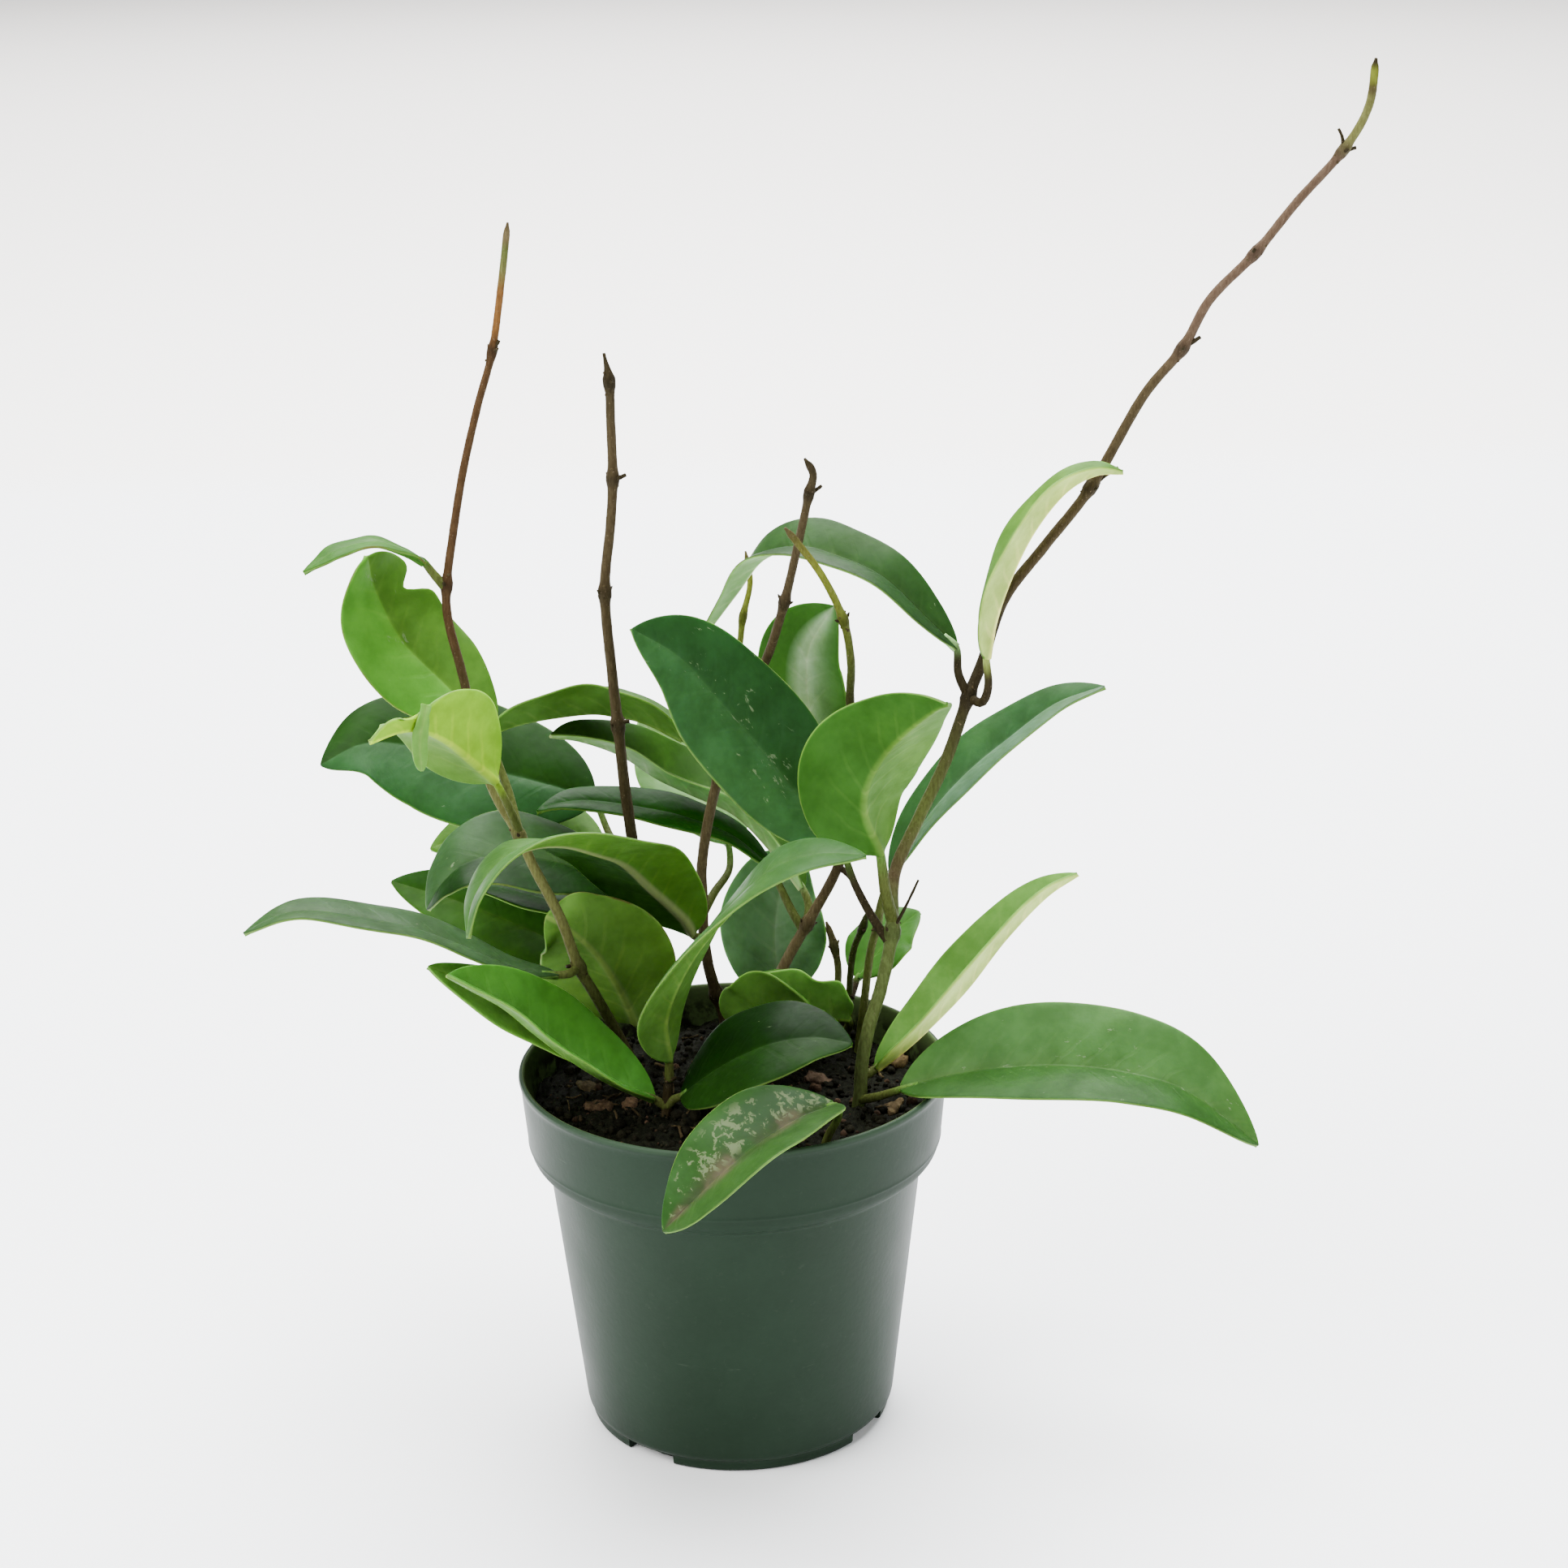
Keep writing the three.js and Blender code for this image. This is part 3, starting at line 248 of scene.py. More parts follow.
# Each stem: its path from below the soil to its tip, its radius at both ends, its leaf nodes, and its skin
# as tones at shares of its length. A spur is a short stub or dry flower stalk: the path point it grows from,
# where it ends, and its radius. A shoot grows from the side of its stem.
STEMS = {
    "vine_right": dict(
        path=((27, -6, 68), (31, -8, 85), (32, -7, 96), (34, -6, 106), (37, -4, 115), (40, 0, 128),
              (41, 6, 141), (47, 9, 154), (54, 12, 168), (60, 15, 184), (64, 18, 193), (69, 18, 208),
              (79, 19, 221), (90, 20, 235), (102, 19, 257), (111, 17, 269), (117, 15, 281), (127, 13, 292),
              (136, 11, 304), (146, 9, 316), (151, 7, 326), (152, 6, 337)),
        radius=(1.75, 0.95), nodes=(5, 9, 13, 15, 17, 19),
        spurs=((5, (46.5, -1, 142), 0.45), (13, (96.5, 19, 240), 0.6), (15, (115, 15.5, 272), 0.7),
               (19, (144.5, 8, 321), 0.5), (19, (149, 9.5, 316.5), 0.6)),
        skin=((0, "moss"), (0.08, "willow"), (0.22, "willow"), (0.25, "hazel"), (0.3, "moss"), (0.4, "umber"),
              (0.46, "umber"), (0.52, "bark"), (0.7, "bark"), (0.76, "clay"), (0.92, "clay"), (0.94, "reed"),
              (0.97, "reed"), (0.978, "bark"), (0.984, "sprout"), (0.991, "sprout"), (0.996, "umber"),
              (1, "umber"))),
    "vine_left": dict(
        path=((-20, 14, 68), (-24, 13, 84), (-28, 9, 96), (-34, 4, 111), (-38, 2, 120), (-42, 0, 134),
              (-48, -1, 148), (-51, -1, 156), (-57, 1, 167), (-61, 3, 181), (-63, 4, 194), (-66, 4, 209),
              (-66, 4, 218), (-64, 5, 230), (-61, 7, 245), (-57, 9, 260), (-53, 10, 273), (-50, 10, 290),
              (-48, 9, 303)),
        radius=(1.5, 0.8), nodes=(4, 7, 12, 16),
        spurs=((4, (-41, 1, 120.5), 0.7), (16, (-51.2, 9.5, 275.5), 0.5)),
        skin=((0, "umber"), (0.1, "bark"), (0.18, "moss"), (0.26, "reed"), (0.46, "reed"), (0.52, "bark"),
              (0.6, "wine"), (0.88, "wine"), (0.9, "rust"), (0.935, "rust"), (0.955, "reed"), (0.975, "moss"),
              (0.985, "tan"), (1, "bark"))),
    "vine_mid_left": dict(
        path=((-19, 31, 68), (-21, 32, 85), (-22, 29, 107), (-23, 27, 130), (-25, 26, 150), (-26, 25, 161),
              (-27, 24, 176), (-28, 23, 190), (-29, 21, 211), (-27, 19, 228), (-26, 18, 240), (-26, 17, 254),
              (-26, 16, 264), (-27, 15, 271)),
        radius=(1.65, 1.1), nodes=(3, 6, 8, 10, 12),
        spurs=((6, (-24, 23.5, 177), 0.7), (10, (-22.8, 17.5, 241), 0.7)),
        skin=((0, "umber"), (0.3, "umber"), (0.5, "bark"), (0.9, "bark"), (1, "umber"))),
    "vine_mid": dict(
        path=((-1, 37, 68), (-2, 40, 88), (-4, 40, 96), (-6, 38, 105), (-7, 36, 115), (-7, 34, 125),
              (-7, 32, 135), (-5, 31, 148), (-2, 30, 160), (2, 28, 171), (7, 26, 185), (11, 23, 194),
              (15, 16, 209), (19, 9, 228), (21, 6, 238), (22, 5, 243), (20, 4, 247)),
        radius=(1.6, 0.95), nodes=(2, 8, 12, 14),
        spurs=((14, (24, 5.5, 240), 0.6), (2, (-1.5, 38.5, 96.5), 0.9)),
        shoot=dict(path=((-2, 30, 160), (1, 38, 169), (4, 48, 189), (5, 51, 196), (7, 54, 204), (6, 56, 212)),
                   radius=(1, 0.7)),
        skin=((0, "bark"), (0.15, "bark"), (0.3, "hazel"), (0.45, "hazel"), (0.6, "bark"), (0.92, "bark"),
              (1, "umber"))),
    "vine_centre": dict(
        path=((5, 37, 68), (6, 39, 86), (14, 38, 105), (20, 36, 117), (28, 32, 134), (31, 28, 150),
              (32, 24, 167), (31, 20, 182), (31, 14, 194), (29, 9, 206), (24, 4, 218), (18, 2, 227),
              (15, 1, 231)),
        radius=(1.6, 0.85), nodes=(3, 5, 9),
        spurs=((4, (31.5, 30.5, 131), 0.9),),
        skin=((0, "bark"), (0.12, "tan"), (0.25, "tan"), (0.36, "bark"), (0.45, "umber"), (0.66, "umber"),
              (0.74, "moss"), (0.92, "sprout"), (1, "bark"))),
    "stem_dark": dict(
        path=((27, 31, 68), (30, 34, 86), (31, 33, 104), (32, 31, 112), (34, 27, 119), (35, 25, 124)),
        radius=(1, 0.8), nodes=(4,),
        skin=((0, "bark"), (0.5, "root"), (1, "root"))),
    "stem_olive": dict(
        path=((30, 26, 68), (33, 29, 86), (35, 28, 104), (36, 26, 113), (37.5, 24, 120)),
        radius=(1.25, 1), nodes=(4,),
        skin=((0, "moss"), (1, "moss"))),
    "stem_red": dict(
        path=((24, 35, 68), (26, 38, 86), (28, 38, 101), (27, 37, 110), (25, 37, 117)),
        radius=(1.1, 0.9), nodes=(3,),
        skin=((0, "bark"), (0.6, "moss"), (1, "bark"))),
    "stem_front": dict(
        path=((-17, -10, 68), (-17, -10, 84), (-16.5, -9.5, 90), (-16, -9, 94)),
        radius=(1.5, 1.2), nodes=(3,),
        skin=((0, "bark"), (1, "umber"))),
}

# Each leaf: its stalk, its midrib from base to tip, the way its right-hand side points, its full width,
# how far both halves fold up in degrees, and its upper tone. Where it differs from most leaves: the way its
# side points at the tip, where it is widest, a notch, its stalk's radius and tone, its lower tone, the tones
# of its right-hand halves, how flecked its upper face is, how brown its margin is, how pale its midrib is
# below, how far its margin waves in millimetres, and a painted sheen: its tone, where it starts and how far
# it fades.
# The tones are partly each leaf's own colour and partly painted light and shade: leaves and halves that lie
# in shade have darker tones, and lit or shiny ones paler tones.
LEAVES = {
    "leaf_right_front": dict(
        stalk=((31, -8, 86.5), (35.5, -13, 89.5)),
        rib=((41, -19, 94), (53, -22, 98.5), (65, -25, 101.5), (80, -28, 103), (95, -31, 102), (109, -34, 98),
             (126, -37, 85)),
        side=(-0.18, -0.9, -0.39), width=35, fold=21, upper="sea", upper_right="fern", flecks=0.7),
    "leaf_right_mid": dict(
        stalk=((31.7, -7.3, 92.5), (33.5, -6.8, 93)),
        rib=((35.5, -6, 94), (45, -4, 101), (57.5, 0, 112), (68, 4, 124), (78.5, 7, 134), (87, 9, 139)),
        side=(0.2, -0.97, 0.1), width=22, fold=38, upper="light", under="pale"),
    "leaf_right_low": dict(
        stalk=((37.5, 24, 120), (38.7, 22, 128)),
        rib=((41, 20, 136), (50, 23, 149), (60, 25, 160), (71, 26, 169), (83, 26, 178), (95, 24, 183)),
        side=(0.25, -0.96, -0.12), width=22, fold=17, upper="blue", upper_right="frost"),
    "leaf_centre_light": dict(
        stalk=((40.3, 1.3, 130.5), (38.3, -2.3, 139.5)),
        rib=((37, -4, 150), (33, -6, 161), (33.5, -9, 170), (37.5, -12, 178.5), (43, -17, 186),
             (48.5, -22, 192), (51.5, -27, 195)),
        side=(-0.87, -0.31, 0.39), width=34.5, widest=0.4, fold=27, stalk_radius=1.7, upper="green",
        under_right="green"),
    # leaf_centre_dark: its left half is painted paler than its right, as sheen
    "leaf_centre_dark": dict(
        stalk=((39.4, -1, 125.5), (35.5, 1.5, 131), (31, 2.5, 140)),
        rib=((28, 3, 149), (19, 6, 160), (9, 8, 173), (-2, 7, 187), (-11, 3, 199), (-22, -3, 208)),
        side=(0.57, 0.69, 0.45), width=35, fold=6, upper="blue", upper_right="deep", stalk_tone="umber",
        flecks=0.7),
    # leaf_back_centre: a painted sheen from just left of its midrib across its right-hand half
    "leaf_back_centre": dict(
        stalk=((31, 29, 151), (27.5, 32, 157)),
        rib=((24, 34, 163), (22, 36, 172), (21, 37, 182), (22, 36, 192), (28, 33, 203)),
        side=(0.76, -0.64, 0), width=30, fold=12, upper="green", painted_sheen=("silver", -0.25, 0.6)),
    "leaf_top_arch": dict(
        stalk=((60, 15, 184), (57.5, 15, 190)),
        rib=((57, 15, 196.5), (49, 16, 204.5), (39, 18, 214), (28, 22, 218.5), (19, 28, 219.5),
             (10, 35, 215.5), (3, 41, 205), (-6, 45, 192)),
        side=(0.44, 0.86, 0.26), width=20, fold=20, upper="thicket", upper_right="dusk", under="mint",
        stalk_tone="umber", flecks=0.2),
    "leaf_top_right": dict(
        stalk=((60, 15, 184), (63, 11.5, 183.5), (64.5, 10.5, 188)),
        rib=((64, 11, 195), (65.5, 10, 205), (69.5, 10, 216.5), (75, 11, 227), (82.5, 12, 236), (90, 13, 240),
             (97, 14, 240)),
        side=(-0.1, -0.99, 0), width=20, fold=30, upper="grass", under="pale", stalk_tone="umber"),
    "leaf_left_top": dict(
        stalk=((-66, 4, 217), (-69, 3.5, 221)),
        rib=((-71, 3, 224), (-75, 1, 227), (-82, -2, 230), (-90, -5, 229), (-94, -7, 227), (-98, -9, 225)),
        side=(-0.38, 0.93, -0.01), width=13, fold=3, upper="green", under="green", brown=0.6),
    "leaf_left_notched": dict(
        stalk=((-51, -1, 156), (-53.5, 4.5, 165), (-56, 7.5, 172)),
        rib=((-58, 9, 179), (-62.5, 11, 184.5), (-70, 13, 192), (-79, 14, 202), (-84.5, 13, 215),
             (-85.5, 10, 224)),
        side=(0.59, 0.71, 0.37), width=31, widest=0.55, fold=4,
        notch=dict(edge=1, at=0.76, depth=0.45, length=0.05), upper="spring", upper_right="leafy",
        flecks=0.25, brown=0.5, wave=0.8),
    "leaf_left_yellow": dict(
        stalk=((-51, -1, 157), (-53, -3.5, 164)),
        rib=((-56, -4, 171), (-61, -9, 178), (-66, -15, 185), (-71, -22, 190), (-76, -29, 192),
             (-82, -34, 191)),
        side=(-0.74, -0.16, -0.66), tip_side=(-0.1, 0.9, -0.45), width=29, widest=0.38, fold=34,
        notch=dict(edge=-1, at=0.76, depth=0.85, length=0.1), upper="light", under="yellow",
        under_right="lime", brown=0.2),
    "leaf_left_dark": dict(
        stalk=((-24.3, 26.3, 140), (-27, 37, 138), (-31, 49, 138)),
        rib=((-35, 57, 145), (-46, 58, 149), (-63, 58, 154), (-80, 58, 160), (-94, 57, 162), (-106, 55, 157)),
        side=(0.28, 0.74, 0.61), width=39, fold=3, upper="deep", upper_right="shade", flecks=0.15),
    "leaf_back_arch": dict(
        stalk=((-2, 30, 160), (-6, 36, 164)),
        rib=((-11, 40, 167), (-20, 43, 171), (-28, 45, 172.5), (-36, 46, 173), (-52, 45, 171),
             (-62, 43, 168)),
        side=(0.1, 0.92, -0.3), width=28, fold=28, upper="olive"),
    # leaf_back_green: its lower face is painted pale, as if lit
    "leaf_back_green": dict(
        stalk=((20, 36, 117), (20.5, 39, 121)),
        rib=((19, 41, 125), (11, 46, 135), (2, 51, 143), (-9, 53, 148), (-18, 52, 153), (-27, 50, 160),
             (-37, 47, 165), (-45, 42, 168)),
        side=(0.13, 0.99, 0), width=27, fold=33, upper="olive", under="mint", pale_rib=0.6),
    "leaf_mid_dark": dict(
        stalk=((19, 36.3, 115), (16, 38, 120), (13, 41, 126)),
        rib=((11, 43, 130), (1, 46, 138), (-11, 47, 143), (-23, 47, 146), (-35, 44, 149), (-43, 40, 150),
             (-49, 37, 149)),
        side=(0.07, 0.98, 0.16), width=18, fold=8, upper="pine"),
    # leaf_arch_mid: the right-hand half of its lower face is painted darker, as shade
    "leaf_arch_mid": dict(
        stalk=((-7, 36.3, 113.5), (-8.5, 33, 115)),
        rib=((-10, 28, 118), (-12, 24, 124), (-20, 15, 136), (-26, 6.5, 145.5), (-32, -4, 152),
             (-40, -14, 158), (-48, -22, 160), (-55, -27, 157), (-60, -30, 150), (-62, -31, 141)),
        side=(-0.96, -0.2, 0), tip_side=(-0.3, 0.9, -0.35), width=30, fold=7, upper="sea", under="leafy",
        under_right="forest", flecks=0.1, pale_rib=1),
    # leaf_left_second: its left half is painted much darker than its right, as shade
    "leaf_left_second": dict(
        stalk=((-22.8, 27.3, 126), (-24.5, 27.5, 128)),
        rib=((-27, 29, 130), (-36, 28, 135), (-45, 26, 139), (-57, 22, 142.5), (-66, 19, 141.5),
             (-72, 17, 137), (-76, 15, 131)),
        side=(-0.12, 0.94, 0.31), width=33, fold=8, upper="night", upper_right="slate", flecks=0.15,
        brown=0.2),
    "leaf_left_third": dict(
        stalk=((-22.2, 28.8, 109), (-23.5, 27, 114)),
        rib=((-25, 27, 119), (-35, 28, 124), (-48, 29, 128), (-60, 30, 131), (-70, 31, 133)),
        side=(-0.08, 1, 0.05), width=22, fold=5, upper="pine"),
    "leaf_left_low_dark": dict(
        stalk=((-21.5, 31, 93), (-25, 33, 97)),
        rib=((-32, 34, 104), (-42, 36, 111), (-55, 39, 117), (-70, 41, 123), (-88, 42, 129)),
        side=(0.37, 0.77, 0.52), width=25, fold=7, upper="olive", upper_right="forest"),
    "leaf_left_far": dict(
        stalk=((-23, 27, 131.5), (-26, 38, 129), (-29, 47, 129)),
        rib=((-33, 52, 132), (-46, 56, 135.5), (-57, 58, 136), (-69, 59, 135), (-79, 58, 132)),
        side=(0.2, 0.9, 0.4), width=28, fold=4, upper="leafy"),
    "leaf_left_long": dict(
        stalk=((-38, 2, 120), (-40, -1, 119.5)),
        rib=((-43, -2, 119.5), (-53, -4, 122), (-66, -6, 129), (-77, -9, 135), (-88, -12, 139),
             (-100, -14, 142), (-108, -16, 142), (-117, -17, 138)),
        side=(-0.25, 0.97, 0), width=22, fold=6, upper="slate", flecks=0.1),
    "leaf_left_green": dict(
        stalk=((-17, -10, 87), (-18.5, -10, 88)),
        rib=((-20, -10, 89), (-31, -13, 96), (-41, -15, 104), (-48, -17, 111), (-55, -20, 119),
             (-63, -22, 125), (-68, -24, 129)),
        side=(0, 0.97, 0.22), width=28, fold=34, upper="bright", flecks=0.1),
    # leaf_left_under: painted pale, as if lit, though leaf_left_green shades it
    "leaf_left_under": dict(
        stalk=((-24.8, 12.5, 87.5), (-27, 8, 89.5)),
        rib=((-30, 3, 94), (-39, -2, 102.5), (-50, -5, 110), (-61, -8, 117.5), (-74, -11, 126)),
        side=(-0.02, 0.96, 0.28), width=24, fold=4, upper="light"),
    "leaf_round_light": dict(
        stalk=((-21.2, 31.3, 90), (-22.5, 25, 92.5)),
        rib=((-25, 20, 97), (-28.5, 14, 109), (-34, 10, 120.5), (-40.5, 8, 128), (-46, 9, 131)),
        side=(-0.94, 0.05, -0.34), width=35, widest=0.5, fold=11, upper="green", under="lime", brown=0.8,
        pale_rib=0.3),
    "leaf_front_arch": dict(
        stalk=((-16, -9, 93.5), (-16, -9.2, 96)),
        rib=((-16, -9.5, 99), (-17, -12, 110), (-14, -16, 121), (-8, -20, 133), (1, -24, 145), (10, -28, 155),
             (20, -32, 160), (32, -36, 161)),
        side=(-0.66, -0.75, -0.05), tip_side=(-0.1, -0.97, -0.22), width=28, fold=3, upper="laurel"),
    "leaf_low_dark": dict(
        stalk=((-17, -10, 87), (-15, -10.5, 89)),
        rib=((-13, -11, 90), (-8, -13, 95), (0, -15, 101), (10, -17, 106), (20, -19, 108), (29, -21, 107)),
        side=(0, -0.96, -0.28), width=32, fold=4, upper="night", upper_right="shade", flecks=0.1),
    "leaf_front_hanging": dict(
        stalk=((20, -27, 72), (22, -31, 86), (25, -34, 94)),
        rib=((24, -36, 98), (15, -46, 99), (6, -54, 97), (-1, -60, 94), (-9, -64, 88), (-17, -65, 80)),
        side=(-0.63, 0.76, 0.06), width=29, fold=24, upper="moor", upper_right="fern", flecks=1.3),
    "leaf_curl_front": dict(
        stalk=((6, 39, 88.5), (7.5, 28, 88.5)),
        rib=((8, 18, 90), (7, 14, 95), (10, 11, 100), (14, 7, 105), (20, 3, 107)),
        side=(-0.89, -0.12, 0.44), width=30, fold=26, upper="green", wave=1.3),
    "leaf_curl_back": dict(
        stalk=((30.2, 34, 88), (30.5, 31, 90.5)),
        rib=((30, 28, 93.5), (24, 24, 96.5), (16, 22, 102), (7, 21, 109)),
        side=(-0.47, 0.85, -0.26), width=22, fold=42, upper="green", under="light", wave=1.3),
    "leaf_back_big": dict(
        stalk=((6, 39, 88), (9.5, 43, 89)),
        rib=((12, 45, 92), (12, 48, 101), (12, 50, 111), (14, 51, 122), (19, 50, 132)),
        side=(0.87, -0.49, 0), width=32, fold=6, upper="mist", flecks=0.45),
    "leaf_back_right": dict(
        stalk=((30.8, 33.5, 97), (32, 35.5, 99)),
        rib=((33, 37, 101), (38, 40, 106), (43, 43, 111), (50, 45, 116)),
        side=(0.55, -0.83, 0.1), width=26, fold=8, upper="green", stalk_tone="umber"),
    "leaf_back_far": dict(
        stalk=((-7, 34.7, 121), (-4, 42, 124), (0, 51, 127)),
        rib=((0, 57, 132), (-7, 66, 141), (-15, 71, 149), (-20, 73, 157), (-23, 73, 163)),
        side=(0.54, 0.83, 0.11), width=33, fold=3, upper="haze"),
}

# The margin of leaf_left_yellow that is folded over near its tip
FOLDED_MARGIN = dict(
    rib=((-69.6, -23.3, 196.4), (-70.4, -25.5, 192.8), (-71.2, -27.3, 189.1), (-71.2, -28.6, 185.5),
         (-70.9, -29.3, 182.2)),
    side=(-0.95, -0.3, -0.1), width=3.8, widest=0.6, fold=12, upper="light", under="fresh",
)

# Colours in linear light. Those that end in tint are multiplied into a skin, and may be over 1. The leaf
# tones partly hold painted light and shade.
TONES = {
    "night": (0.003, 0.018, 0.0012),
    "thicket": (0.012, 0.035, 0.009),
    "pine": (0.005, 0.044, 0.001),
    "shade": (0.007, 0.03, 0.003),
    "deep": (0.0115, 0.05, 0.011),
    "dusk": (0.017, 0.05, 0.011),
    "slate": (0.02, 0.052, 0.016),
    "blue": (0.019, 0.066, 0.018),
    "moor": (0.02, 0.055, 0.011),
    "fern": (0.016, 0.055, 0.009),
    "laurel": (0.03, 0.08, 0.022),
    "sea": (0.038, 0.1, 0.024),
    "frost": (0.055, 0.115, 0.06),
    "mist": (0.08, 0.17, 0.07),
    "green": (0.026, 0.09, 0.01),
    "forest": (0.012, 0.05, 0.004),
    "bright": (0.051, 0.19, 0.022),
    "fresh": (0.048, 0.165, 0.012),
    "spring": (0.062, 0.2, 0.018),
    "olive": (0.02, 0.062, 0.006),
    "leafy": (0.05, 0.13, 0.013),
    "grass": (0.065, 0.155, 0.024),
    "light": (0.11, 0.25, 0.045),
    "lime": (0.08, 0.18, 0.026),
    "yellow": (0.2, 0.4, 0.01),
    "pale": (0.36, 0.47, 0.11),
    "mint": (0.26, 0.48, 0.17),
    "haze": (0.14, 0.26, 0.1),
    # the colour of the painted sheen on leaf_back_centre
    "silver": (0.22, 0.34, 0.19),
    "reed": (0.11, 0.115, 0.035),
    "tan": (0.12, 0.095, 0.045),
    "hazel": (0.075, 0.058, 0.028),
    "bark": (0.05, 0.037, 0.017),
    "umber": (0.022, 0.017, 0.007),
    "wine": (0.055, 0.03, 0.012),
    "rust": (0.14, 0.065, 0.018),
    "clay": (0.085, 0.056, 0.036),
    "moss": (0.065, 0.082, 0.019),
    "willow": (0.082, 0.112, 0.032),
    "root": (0.022, 0.03, 0.005),
    "sprout": (0.12, 0.14, 0.016),
    "leaf tint": (0.62, 0.68, 0.55),
    "warm tint": (1.12, 1.05, 0.75),
    "vein tint": (2.0, 1.5, 2.0),
    # a painted sheen along the midrib of a leaf's upper face
    "midrib sheen tint": (1.9, 1.45, 1.8),
    "rib tint": (2.2, 1.6, 1.9),
    "pale rib": (0.17, 0.19, 0.08),
    "fleck": (0.12, 0.17, 0.085),
    "dull leaf": (0.022, 0.044, 0.02),
    "bruise": (0.022, 0.032, 0.012),
    "scar": (0.07, 0.058, 0.034),
    "silver net": (0.105, 0.135, 0.065),
    "margin": (0.17, 0.27, 0.06),
    "burnt": (0.08, 0.035, 0.015),
    "streak tint": (0.5, 0.44, 0.4),
    "bark speck": (0.16, 0.12, 0.08),
    "plastic": (0.006, 0.015, 0.0075),
    "pale plastic": (0.0085, 0.0195, 0.0105),
    "plastic shine": (0.88, 1.0, 0.9),
    "dust": (0.03, 0.04, 0.028),
    "scuff": (0.035, 0.05, 0.035),
    # painted highlight along the top of the pot's rim
    "rim": (0.028, 0.05, 0.028),
    # painted shadow on the ledge under the pot's collar
    "painted ledge shadow": (0.002, 0.006, 0.003),
    # the inner wall painted paler and olive, as if lit: painted light
    "lit inner wall": (0.058, 0.088, 0.03),
    "dirt": (0.006, 0.005, 0.003),
    "peat tint": (0.3, 0.27, 0.24),
    "fibre": (0.07, 0.045, 0.028),
    "floor": (0.86, 0.875, 0.895),
    "pale floor": (0.89, 0.9, 0.92),
    "far floor": (0.87, 0.855, 0.84),
}

# Each noise: its waves per metre, its detail, its roughness and its distortion
NOISES = {
    "leaf mottle": (110, 5, 0.6, 0),
    "leaf warmth": (35, 2, 0.5, 0),
    "leaf grain": (500, 2, 0.5, 0),
    "leaf relief": (95, 2, 0.4, 0),
    "vein drift": (120, 2, 0.5, 0),
    "fleck": (620, 5, 0.68, 0.6),
    "fleck patch": (130, 3, 0.6, 0),
    "burn": (160, 3, 0.5, 0),
    "bruise": (85, 3, 0.55, 0),
    "net": (480, 4, 0.62, 0.6),
    "net cloud": (70, 2, 0.5, 0),
    "bark streak": (1600, 4, 0.6, 0),
    "bark speck": (1900, 2, 0.5, 0),
    "plastic cloud": (25, 5, 0.6, 0),
    "plastic grain": (700, 4, 0.5, 0),
    "dust": (500, 6, 0.7, 0),
    "scuff": (55, 4, 0.7, 0),
    "dirt": (130, 5, 0.65, 0),
    "peat": (900, 6, 0.7, 0),
    "fibre": (320, 4, 0.6, 1.5),
    "floor cloud": (1.5, 3, 0.5, 0),
}

# The material slot that the record gives each node
SLOTS = {row["node"]: row["material_slot"] for row in frame["record"]["subparts"]}


# Curves and meshes
def unit(vectors):
    return vectors / np.linalg.norm(vectors, axis=-1, keepdims=True)


def between(ends, share):
    """A value part of the way from one end to the other."""
    return ends[0] + (ends[1] - ends[0]) * share


def smooth_step(low, high, value):
    share = np.clip((value - low) / (high - low), 0, 1)
    return share * share * (3 - 2 * share)


class SmoothCurve:
    """A smooth curve through points, read by the share of its length."""

    def __init__(self, points):
        inner = np.array(points, float)
        first = 2 * inner[0] - inner[1]
        last = 2 * inner[-1] - inner[-2]
        self.points = np.vstack([first, inner, last])
        self.spans = len(inner) - 1
        self.steps = np.linspace(0, self.spans, CURVE_STEPS * self.spans + 1)
        gaps = np.linalg.norm(np.diff(self.by_step(self.steps), axis=0), axis=1)
        self.lengths = np.concatenate([[0], np.cumsum(gaps)])
        self.length = self.lengths[-1]

    def by_step(self, step):
        """Places at steps, where step 1.5 is half-way from the second point to the third."""
        low = np.clip(np.floor(step).astype(int), 0, self.spans - 1)
        t = (step - low)[:, None]
        before, start, end, after = (self.points[low + k] for k in range(4))
        leave = (end - before) / 2
        arrive = (after - start) / 2
        cubic = 2 * start - 2 * end + leave + arrive
        square = -3 * start + 3 * end - 2 * leave - arrive
        return ((cubic * t + square) * t + leave) * t + start

    def at(self, share):
        share = np.clip(np.atleast_1d(share), 0, 1)
        return self.by_step(np.interp(share * self.length, self.lengths, self.steps))

    def tangent(self, share):
        share = np.atleast_1d(share)
        return unit(self.at(share + TANGENT_REACH) - self.at(share - TANGENT_REACH))

    def share_of_point(self, index):
        return np.interp(index, self.steps, self.lengths) / self.length


class Part:
    """Points, faces and skin of one part of a piece, in millimetres."""

    def __init__(self, points, faces, skin=TONES["bark"], material=0):
        self.points = np.asarray(points, float)
        self.faces = faces
        self.material = material
        count = len(self.points)
        self.skin = np.zeros((count, 3)) + skin
        self.upper_skin = np.zeros((count, 3))
        self.under_skin = np.zeros((count, 3))
        self.leaf_map = np.zeros((count, 3))
        self.leaf_form = np.zeros((count, 3))
        self.leaf_marks = np.zeros((count, 3))


def add_object(name, data):
    thing = bpy.data.objects.new(name, data)
    bpy.context.scene.collection.objects.link(thing)
    return thing


